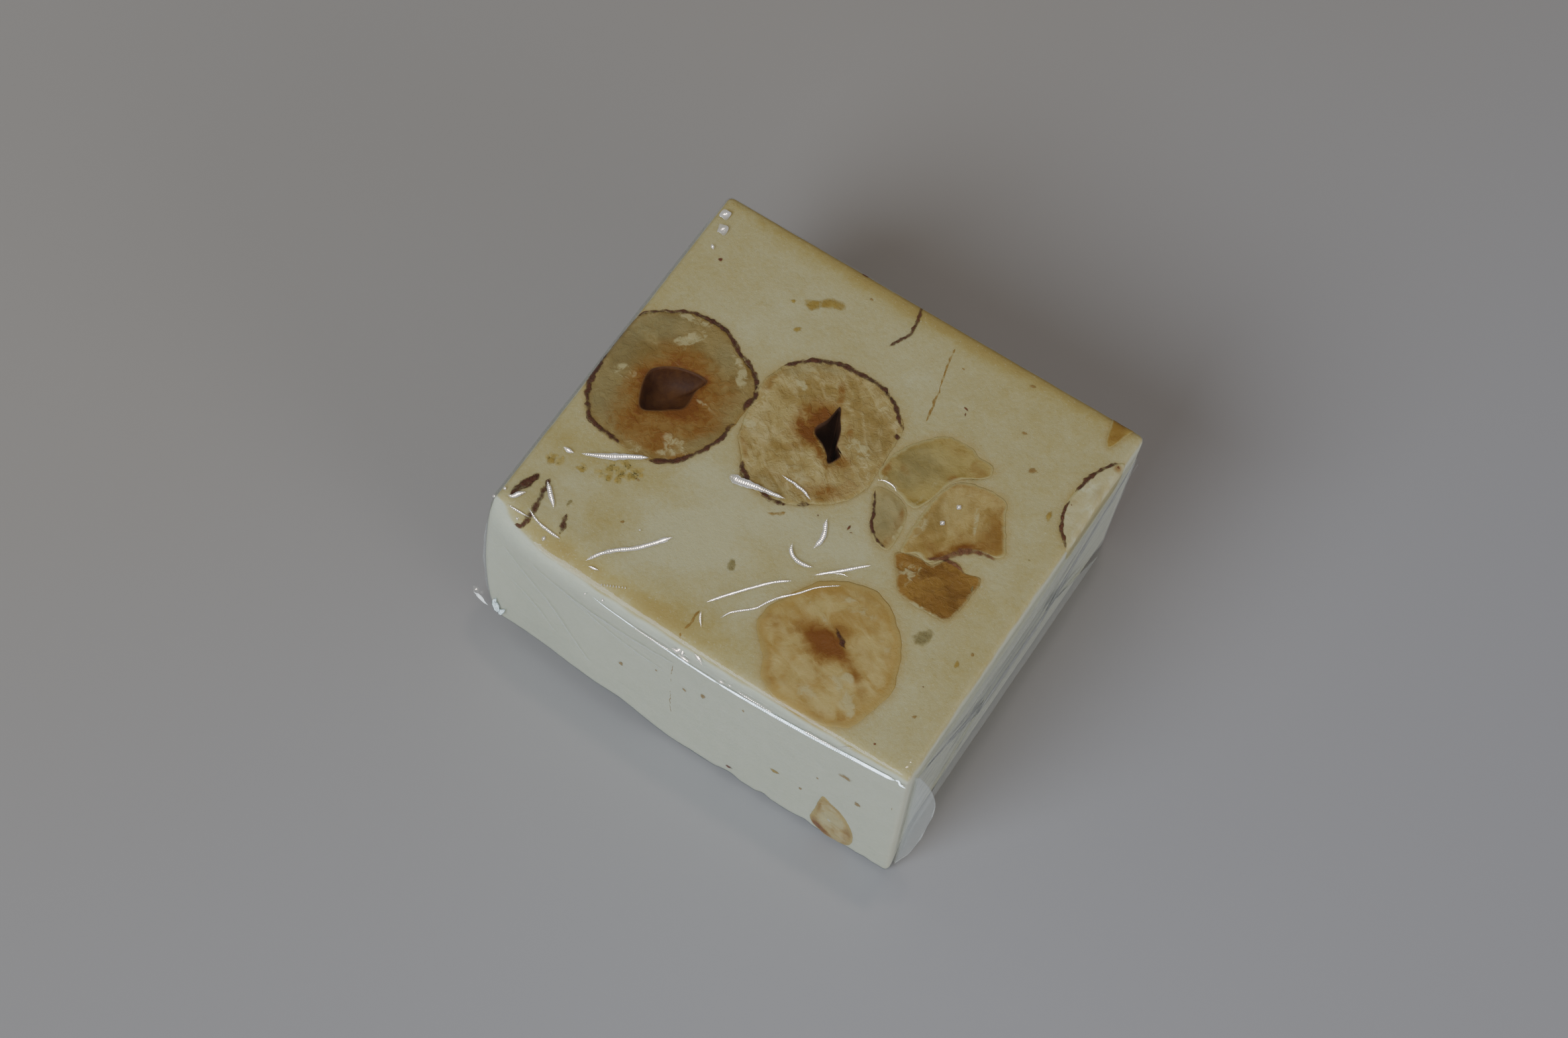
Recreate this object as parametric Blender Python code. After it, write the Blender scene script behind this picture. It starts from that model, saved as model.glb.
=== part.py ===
"""Hazelnut nougat: a thick, square cut piece of white nougat in tight clear film.

Metres, +Z up. X runs along the front side, Y from front to back. The origin is
the centre of the underside. The block, the inside and the outside of the film
are one rounded box with three corner radii, so the gap between them is even.
Hazelnut kernels are lofted from their outline at the cut, and each sits in a
pocket of its own form, a little larger than the kernel.
"""

import math

import bmesh
import bpy
import numpy as np

MM = 0.001

# Driving dimensions of the wrapped piece.
LENGTH = 0.0420
DEPTH = 0.0375
HEIGHT = 0.0215
FILM_THICKNESS = 0.0003
GAP = 0.0003

# Corner radius of the nougat, and of the two faces of the film around it.
NOUGAT_RADIUS = 0.0009
FILM_INNER_RADIUS = NOUGAT_RADIUS + GAP
FILM_OUTER_RADIUS = FILM_INNER_RADIUS + FILM_THICKNESS

# Grid spans of a rounded box along X, Y and Z, between its rounded edges.
GRID_SPANS = (12, 8, 5)

# The box that all three rounded forms share as their core.
CORE_HALF_X = LENGTH / 2 - FILM_OUTER_RADIUS
CORE_HALF_Y = DEPTH / 2 - FILM_OUTER_RADIUS
CORE_LOW_Z = FILM_OUTER_RADIUS
CORE_HIGH_Z = HEIGHT - FILM_OUTER_RADIUS
CUT_Z = CORE_HIGH_Z + NOUGAT_RADIUS

# How the soft block has settled: walls lean in towards the base, and the
# lower front edge is lifted off the table over its left half.
LEAN_RIGHT = 0.0010
LEAN_LEFT = 0.0004
LEAN_FRONT = 0.0005
EDGE_LIFT = 0.0018
LIFT_FULL_X = -0.0080
LIFT_END_X = -0.0020
LIFT_REACH_Y = 0.0045
LIFT_REACH_Z = 0.0070

# Kernels: resolution of an outline and of the rings below it.
POINTS_PER_SPAN = 3
KERNEL_RINGS = 6
KERNEL_RISE = 0.0012

# Cut kernels in the top face: outline through these points (mm), and depth (mm).
KERNELS = {
    "hazelnut_left": (
        [(-14.8, 7.1), (-11.6, 5.9), (-8.9, 4.1), (-8.2, 1.2), (-8.7, -2.6), (-11.2, -6.2),
         (-15.0, -6.8), (-18.9, -5.5), (-20.8, -1.8), (-21.0, 2.4), (-18.6, 5.8)],
        5.6),
    "hazelnut_middle": (
        [(-1.8, 9.8), (1.6, 9.1), (3.7, 7.2), (4.0, 3.4), (3.5, 0.2), (0.9, -2.6),
         (-2.6, -3.9), (-5.6, -2.8), (-7.4, 0.6), (-7.7, 4.2), (-7.2, 7.2), (-4.9, 9.4)],
        6.2),
    "hazelnut_right_upper": (
        [(5.0, 3.2), (4.6, 4.9), (5.3, 7.2), (7.0, 9.0), (9.3, 9.2), (11.8, 8.6),
         (11.2, 7.2), (9.5, 5.9), (8.7, 4.0), (7.0, 2.9)],
        3.6),
    "hazelnut_right_sliver": (
        [(4.9, 1.4), (6.2, 1.7), (7.6, 0.9), (8.0, -0.8), (7.9, -2.3), (6.7, -2.3), (5.6, -0.4)],
        3.2),
    "hazelnut_right_main": (
        [(9.3, 0.9), (9.3, 3.4), (10.4, 5.8), (12.5, 6.8), (14.5, 6.5), (15.9, 4.2), (16.6, 2.3),
         (14.6, 1.4), (12.6, -0.4), (11.4, -1.3), (9.6, -1.2)],
        4.4),
    "hazelnut_right_lower": (
        [(13.4, -0.9), (16.1, -0.7), (16.3, -3.2), (15.6, -5.3), (13.0, -5.5), (10.9, -4.8),
         (9.4, -2.7), (10.3, -1.9), (12.1, -1.8)],
        4.0),
    "hazelnut_front": (
        [(9.2, -6.3), (12.4, -7.5), (14.8, -10.6), (15.4, -13.6), (14.5, -16.4), (11.8, -17.3),
         (8.2, -17.3), (5.7, -16.4), (3.4, -14.1), (3.6, -11.6), (5.0, -8.6), (6.8, -7.0)],
        5.4),
    "hazelnut_right_edge": (
        [(21.5, 15.4), (19.4, 13.8), (18.6, 10.8), (19.0, 7.9), (21.5, 5.2), (24.0, 7.6),
         (24.6, 10.6), (23.8, 13.6)],
        4.6),
    "hazelnut_back_corner": (
        [(17.5, 19.6), (17.8, 17.6), (18.6, 16.2), (19.2, 17.2), (19.7, 19.6)],
        1.6),
}

# Hollows in the middle of a cut kernel: outline (mm), and depth (mm).
HOLLOWS = {
    "hazelnut_left": (
        [(-12.5, 2.2), (-12.6, -0.6), (-14.6, -2.7), (-16.2, -1.9), (-16.8, 0.0), (-15.6, 1.7)],
        3.2),
    "hazelnut_middle": (
        [(-1.9, 6.1), (-0.5, 3.9), (0.5, 2.6), (0.1, 1.7), (-1.6, 2.9), (-2.4, 4.0)],
        3.6),
}

# The kernel that shows low in the front side: centre and half sizes (mm).
SIDE_KERNEL_CENTRE = (14.8, -19.0, 3.4)
SIDE_KERNEL_HALF = (2.3, 3.4, 4.6)
SIDE_KERNEL_SEGMENTS = 20
SIDE_KERNEL_RINGS = 12

# End folds of the film: each flap is a trapezium on an end wall.
FLAP_REACH_TOP = 0.0125
FLAP_REACH_BASE = 0.0110
FLAP_RELIEF = 0.0003
FLAP_SINK = 0.0001
FLAP_INSET = 0.0012

# Film ears, where a fold stands off a front corner: reach, and span in height.
EAR_THICKNESS = 0.0005
EAR_POINTS = 8
EAR_RIGHT = (0.0023, 0.0012, 0.0140)
EAR_LEFT = (0.0017, 0.0028, 0.0068)

# The open lap of the film under the piece.
LAP_WIDTH = 0.0004
LAP_LENGTH = 0.0300
LAP_Y = 0.0060

COLOURS = {
    "nougat": (0.62, 0.58, 0.42, 1.0),
    "kernel_pale": (0.50, 0.36, 0.17, 1.0),
    "kernel_toasted": (0.32, 0.18, 0.06, 1.0),
    "clear_film": (0.86, 0.88, 0.88, 0.25),
}
TOASTED = ("hazelnut_right_lower", "hazelnut_left")


def clear_scene():
    """Remove every object, so that the file holds only this model."""
    for obj in list(bpy.data.objects):
        bpy.data.objects.remove(obj, do_unlink=True)


def make_material(name, roughness):
    """Return the Principled material of this name, made on first use."""
    material = bpy.data.materials.get(name)
    if material is None:
        material = bpy.data.materials.new(name)
        material.use_nodes = True
        shader = material.node_tree.nodes["Principled BSDF"]
        colour = COLOURS[name]
        shader.inputs["Base Color"].default_value = colour
        shader.inputs["Alpha"].default_value = colour[3]
        shader.inputs["Roughness"].default_value = roughness
        shader.inputs["Metallic"].default_value = 0.0
    return material


def add_object(name, bm, material=None):
    """Turn a bmesh into a smooth object with outward faces, and free the bmesh."""
    bmesh.ops.recalc_face_normals(bm, faces=bm.faces)
    mesh = bpy.data.meshes.new(name)
    bm.to_mesh(mesh)
    bm.free()
    mesh.shade_smooth()
    mesh.set_sharp_from_angle(angle=math.radians(40))
    if material is not None:
        mesh.materials.append(material)
    obj = bpy.data.objects.new(name, mesh)
    bpy.context.collection.objects.link(obj)
    return obj


def make_guide(obj):
    """Mark an object as a cutter or tool body that is no part of the model."""
    obj.hide_render = True
    obj.display_type = "WIRE"
    return obj


def combine(obj, tool, operation):
    """Add an exact Boolean modifier to an object."""
    modifier = obj.modifiers.new(f"{operation.lower()} {tool.name}", "BOOLEAN")
    modifier.operation = operation
    modifier.solver = "EXACT"
    modifier.object = tool


def ramp(value, start, end):
    """Smooth step of a value: 0 at start, 1 at end, level outside."""
    t = min(max((value - start) / (end - start), 0.0), 1.0)
    return t * t * (3.0 - 2.0 * t)


def settle(point):
    """Move a point of the upright box to where the soft block has settled."""
    x, y, z = point
    below_top = 1.0 - z / HEIGHT
    x -= LEAN_RIGHT * below_top * ramp(x, 0.0, CORE_HALF_X)
    x += LEAN_LEFT * below_top * ramp(-x, 0.0, CORE_HALF_X)
    y += LEAN_FRONT * below_top * ramp(-y, 0.0, CORE_HALF_Y)
    near_front = ramp(-y, CORE_HALF_Y - LIFT_REACH_Y, CORE_HALF_Y)
    near_base = 1.0 - ramp(z, 0.0, LIFT_REACH_Z)
    on_left = 1.0 - ramp(x, LIFT_FULL_X, LIFT_END_X)
    z += EDGE_LIFT * near_front * near_base * on_left
    return (x, y, z)


def grid_lines(low, high, radius, spans):
    """Grid positions between two ends, with extra lines in the rounded edges."""
    inner = np.linspace(low + radius, high - radius, spans + 1)
    ends = [low, low + radius / 2]
    return np.concatenate([ends, inner, [high - radius / 2, high]])


def rounded_block(radius):
    """Rounded box around the shared core, settled, as a closed bmesh.

    Every point of a gridded box is pulled back to the core box and pushed out
    again by the radius, which rounds edges and corners alike.
    """
    low = np.array([-CORE_HALF_X, -CORE_HALF_Y, CORE_LOW_Z])
    high = np.array([CORE_HALF_X, CORE_HALF_Y, CORE_HIGH_Z])
    lines = [grid_lines(low[axis] - radius, high[axis] + radius, radius, spans)
             for axis, spans in enumerate(GRID_SPANS)]
    bm = bmesh.new()
    for axis in range(3):
        u_axis, v_axis = (axis + 1) % 3, (axis + 2) % 3
        for side in (0, -1):
            rows = []
            for u in lines[u_axis]:
                row = []
                for v in lines[v_axis]:
                    point = np.zeros(3)
                    point[axis] = lines[axis][side]
                    point[u_axis] = u
                    point[v_axis] = v
                    core = np.clip(point, low, high)
                    away = point - core
                    rounded = core + away / np.linalg.norm(away) * radius
                    row.append(bm.verts.new(settle(rounded)))
                rows.append(row)
            for first, second in zip(rows, rows[1:]):
                for a, b, c, d in zip(first, first[1:], second[1:], second):
                    bm.faces.new((a, b, c, d))
    bmesh.ops.remove_doubles(bm, verts=bm.verts, dist=1e-6)
    return bm


def closed_curve(points):
    """Smooth closed curve through the points (mm), as an array in metres."""
    points = np.array(points) * MM
    before = np.roll(points, 1, axis=0)
    after = np.roll(points, -1, axis=0)
    beyond = np.roll(points, -2, axis=0)
    samples = []
    for a, b, c, d in zip(before, points, after, beyond):
        for t in np.arange(POINTS_PER_SPAN) / POINTS_PER_SPAN:
            along = (c - a) * t
            bend = (2 * a - 5 * b + 4 * c - d) * t ** 2
            twist = (3 * b - a - 3 * c + d) * t ** 3
            samples.append(b + 0.5 * (along + bend + twist))
    return np.array(samples)


def grown(curve, distance):
    """Push a closed curve outwards along its normals."""
    tangent = np.roll(curve, -1, axis=0) - np.roll(curve, 1, axis=0)
    normal = np.stack([tangent[:, 1], -tangent[:, 0]], axis=1)
    normal /= np.linalg.norm(normal, axis=1, keepdims=True)
    centre = curve.mean(axis=0)
    if np.sum(normal * (curve - centre)) < 0:
        normal = -normal
    return curve + normal * distance


def kernel_form(outline, depth_mm, growth=0.0, rise=KERNEL_RISE):
    """Kernel below the cut: the outline shrinks as a half ellipse to the bottom.

    A short straight collar stands above the cut, to be trimmed off flush.
    """
    curve = grown(closed_curve(outline), growth)
    centre = curve.mean(axis=0)
    depth = depth_mm * MM + growth
    levels = [(1.0, rise + growth), (1.0, 0.0)]
    for ring in range(1, KERNEL_RINGS):
        angle = math.radians(90.0) * ring / KERNEL_RINGS
        levels.append((math.cos(angle), -depth * math.sin(angle)))
    bm = bmesh.new()
    rings = []
    for factor, rise_z in levels:
        flat = centre + (curve - centre) * factor
        rings.append([bm.verts.new((x, y, CUT_Z + rise_z)) for x, y in flat])
    bm.faces.new(rings[0])
    for upper, lower in zip(rings, rings[1:]):
        for index in range(len(upper)):
            following = (index + 1) % len(upper)
            bm.faces.new((upper[index], lower[index], lower[following], upper[following]))
    bottom = bm.verts.new((centre[0], centre[1], CUT_Z - depth))
    last = rings[-1]
    for index in range(len(last)):
        bm.faces.new((last[index], bottom, last[(index + 1) % len(last)]))
    return bm


def side_kernel_form(growth=0.0):
    """Ellipsoid kernel that the front wall cuts through."""
    bm = bmesh.new()
    bmesh.ops.create_uvsphere(
        bm, u_segments=SIDE_KERNEL_SEGMENTS, v_segments=SIDE_KERNEL_RINGS, radius=1.0)
    half = np.array(SIDE_KERNEL_HALF) * MM + growth
    centre = np.array(SIDE_KERNEL_CENTRE) * MM
    bmesh.ops.scale(bm, vec=half, verts=bm.verts)
    bmesh.ops.translate(bm, vec=centre, verts=bm.verts)
    return bm


def prism(corners, offset):
    """Closed prism from a flat loop of corners and the same loop moved by an offset."""
    bm = bmesh.new()
    near = [bm.verts.new(corner) for corner in corners]
    far = [bm.verts.new([a + b for a, b in zip(corner, offset)]) for corner in corners]
    bm.faces.new(near)
    bm.faces.new(list(reversed(far)))
    for index in range(len(near)):
        following = (index + 1) % len(near)
        bm.faces.new((near[index], far[index], far[following], near[following]))
    return bm


def flap_form(side, from_top):
    """Folded flap on an end wall: a trapezium that narrows away from its edge."""
    reach = FLAP_REACH_TOP if from_top else FLAP_REACH_BASE
    start_z = HEIGHT - FILM_OUTER_RADIUS if from_top else FILM_OUTER_RADIUS
    stop_z = start_z - reach if from_top else start_z + reach
    wide = CORE_HALF_Y - FLAP_INSET
    narrow = wide - reach
    corners = []
    for y, z in ((-wide, start_z), (wide, start_z), (narrow, stop_z), (-narrow, stop_z)):
        x, y, z = settle((side * LENGTH / 2, y, z))
        corners.append((x - side * FLAP_SINK, y, z))
    relief = FLAP_RELIEF if from_top else FLAP_RELIEF * 2
    return prism(corners, (side * (relief + FLAP_SINK), 0.0, 0.0))


def ear_form(side, reach, low_z, high_z):
    """Film ear: a thin lens that stands off a front corner of an end wall.

    Its outer rim bulges as a half sine over the height, and its inner rim is
    straight and sunk in the film.
    """
    y = -DEPTH / 2 + FILM_OUTER_RADIUS * 2
    root = FILM_THICKNESS / 2
    corners = []
    for step in range(EAR_POINTS + 1):
        share = step / EAR_POINTS
        x, _, z = settle((side * LENGTH / 2, 0.0, low_z + (high_z - low_z) * share))
        corners.append((x + side * (reach * math.sin(math.pi * share) - root), y, z))
    return prism(corners, (0.0, EAR_THICKNESS, 0.0))


def lap_cutter():
    """Slot through the film under the piece, where its two edges lap."""
    half = LAP_LENGTH / 2
    low = -FILM_THICKNESS
    corners = [(-half, LAP_Y, low), (half, LAP_Y, low),
               (half, LAP_Y + LAP_WIDTH, low), (-half, LAP_Y + LAP_WIDTH, low)]
    return prism(corners, (0.0, 0.0, 3 * FILM_THICKNESS))


def make_kernels(envelope):
    """Make every hazelnut kernel, trimmed flush with the block, and its hollow."""
    for name, (outline, depth) in KERNELS.items():
        tone = "kernel_toasted" if name in TOASTED else "kernel_pale"
        kernel = add_object(name, kernel_form(outline, depth), make_material(tone, 0.45))
        combine(kernel, envelope, "INTERSECT")
        if name in HOLLOWS:
            hollow_outline, hollow_depth = HOLLOWS[name]
            hollow = add_object(f"{name}_hollow", kernel_form(hollow_outline, hollow_depth))
            combine(kernel, make_guide(hollow), "DIFFERENCE")
    side = add_object("hazelnut_front_side", side_kernel_form(), make_material("kernel_pale", 0.45))
    combine(side, envelope, "INTERSECT")


def make_nougat():
    """Make the white nougat block with one pocket for every kernel."""
    nougat = add_object("nougat", rounded_block(NOUGAT_RADIUS), make_material("nougat", 0.55))
    for name, (outline, depth) in KERNELS.items():
        pocket = add_object(f"{name}_pocket", kernel_form(outline, depth, GAP))
        combine(nougat, make_guide(pocket), "DIFFERENCE")
    pocket = add_object("hazelnut_front_side_pocket", side_kernel_form(GAP))
    combine(nougat, make_guide(pocket), "DIFFERENCE")


def make_film():
    """Make the film: a thin shell with folded ends, two ears and an open lap."""
    film = add_object(
        "film_wrap", rounded_block(FILM_OUTER_RADIUS), make_material("clear_film", 0.08))
    inside = add_object("film_inside", rounded_block(FILM_INNER_RADIUS))
    for side, end in ((-1, "left"), (1, "right")):
        for from_top, edge in ((True, "top"), (False, "base")):
            flap = add_object(f"film_{end}_{edge}_flap", flap_form(side, from_top))
            combine(film, make_guide(flap), "UNION")
    for side, end, sizes in ((-1, "left", EAR_LEFT), (1, "right", EAR_RIGHT)):
        ear = add_object(f"film_{end}_ear", ear_form(side, *sizes))
        combine(film, make_guide(ear), "UNION")
    combine(film, make_guide(inside), "DIFFERENCE")
    slot = add_object("film_lap_slot", lap_cutter())
    combine(film, make_guide(slot), "DIFFERENCE")


def main():
    """Build the wrapped nougat piece."""
    clear_scene()
    envelope = make_guide(add_object("block_envelope", rounded_block(NOUGAT_RADIUS)))
    make_nougat()
    make_kernels(envelope)
    make_film()


if __name__ == "__main__":
    main()
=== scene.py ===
"""Wrapped hazelnut nougat: the finish of every surface, the film and the stage.

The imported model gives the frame. Each piece is a surface worked out from two
parameters, in metres, and stands for one of the frame's solids or rides on it.
Routes and outlines are in millimetres on the cut face: X along the front side,
Y from front to back.
"""

import math

import bpy
import numpy as np
from mathutils import Matrix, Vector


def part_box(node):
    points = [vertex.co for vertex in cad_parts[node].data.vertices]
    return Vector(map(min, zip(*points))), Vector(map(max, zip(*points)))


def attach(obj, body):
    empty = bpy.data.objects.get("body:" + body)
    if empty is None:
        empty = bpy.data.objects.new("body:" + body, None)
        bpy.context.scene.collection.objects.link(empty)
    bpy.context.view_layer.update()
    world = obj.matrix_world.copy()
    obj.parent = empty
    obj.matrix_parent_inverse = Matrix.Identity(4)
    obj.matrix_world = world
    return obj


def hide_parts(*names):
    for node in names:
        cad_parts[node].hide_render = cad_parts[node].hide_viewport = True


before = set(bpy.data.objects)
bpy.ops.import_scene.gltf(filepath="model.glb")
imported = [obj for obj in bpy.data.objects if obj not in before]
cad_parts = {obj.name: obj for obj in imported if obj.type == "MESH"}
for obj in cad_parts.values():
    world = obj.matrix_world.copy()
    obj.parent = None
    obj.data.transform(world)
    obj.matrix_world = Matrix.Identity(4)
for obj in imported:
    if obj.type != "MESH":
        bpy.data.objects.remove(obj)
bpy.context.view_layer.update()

bl_info = {
    "name": "Wrapped Hazelnut Nougat",
    "version": (1, 0, 0),
    "blender": (4, 5, 0),
    "location": "View3D > Sidebar > Nougat",
    "description": "Builds a cut piece of hazelnut nougat in clear film, with its stage",
    "category": "Add Mesh",
}

MM = 0.001
BODY = "root"

# ---------------------------------------------------------------- sizes of the block

NOUGAT_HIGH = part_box("nougat")[1]
HEIGHT = float(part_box("film_wrap")[1][2])
# Gap between nougat and film, and how far the soft block swells past its solid.
AIR = 0.00012
SWELL = 0.00045
CUT_Z = HEIGHT - 2 * AIR
SHELL_X = float(NOUGAT_HIGH[0]) + SWELL
SHELL_Y = float(NOUGAT_HIGH[1]) + SWELL
EDGE_RADIUS = 0.0009
CORE_X = SHELL_X - EDGE_RADIUS
CORE_Y = SHELL_Y - EDGE_RADIUS
CORE_LOW = [-CORE_X, -CORE_Y, 0.0021]
CORE_HIGH = [CORE_X, CORE_Y, CUT_Z - EDGE_RADIUS]
# Mesh steps: the nougat's cut face, the film's, every wall, and quads in a rounded edge.
GRID_STEP = 0.0003
FILM_STEP = 0.00035
WALL_STEP = 0.00045
ROUND_STEPS = 4

# How the soft block has settled, with the same leans and lift as its solids: its end
# walls' leans and the left one's bulge, how far the front's foot spreads, the lift of the
# lower front edge and where it fades out, the torn edge's height, the bow of the front,
# the cut back left corner, the melt of the top edges, and the powers of the roundings.
LEAN_RIGHT = 0.0010
LEAN_LEFT = 0.0004
LEFT_BULGE = 0.0007
FOOT_LEFT = -0.0002
FOOT_RIGHT = 0.0003
EDGE_LIFT = 0.0018
LIFT_FULL_X = -0.0080
LIFT_END_X = -0.0010
LIFT_REACH_Z = 0.0070
FRONT_BAND = 0.0045
TORN_REACH_Z = 0.0035
FRONT_BOW = 0.0005
CORNER_CUT = 0.0019
CORNER_CUT_X = -0.0140
CORNER_CUT_REACH = 0.0070
EDGE_MELT = 0.0008
EDGE_MELT_REACH = 0.0034
EDGE_POWER = 0.6
FOOT_POWER = 0.4
CORNER_POWER = 4.0
# Notches and lobes of the torn lower front edge: place, half width and rise (mm).
TORN_EDGE = [
    (-14, 1.6, 0.25), (-11.2, 1.2, 0.3), (-7, 1.5, 0.2), (-3.8, 0.9, -0.15), (4.4, 1, 0.55),
    (2.2, 0.8, -0.15), (8.1, 0.6, 0.45), (12.2, 0.9, 0.4), (18.4, 1, 0.2), (15, 1.2, 0.1),
]

# ---------------------------------------------------------------- kernels

# Points round a kernel, and rings over its face, its hollow and its underside.
KERNEL_ANGLES = 220
FACE_RINGS = 64
HOLLOW_RINGS = 22
SIDE_RINGS = 16
# How far a kernel's face stands proud of the nougat, and the kernels in the toasted slot.
FACE_PROUD = 0.00003

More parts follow.
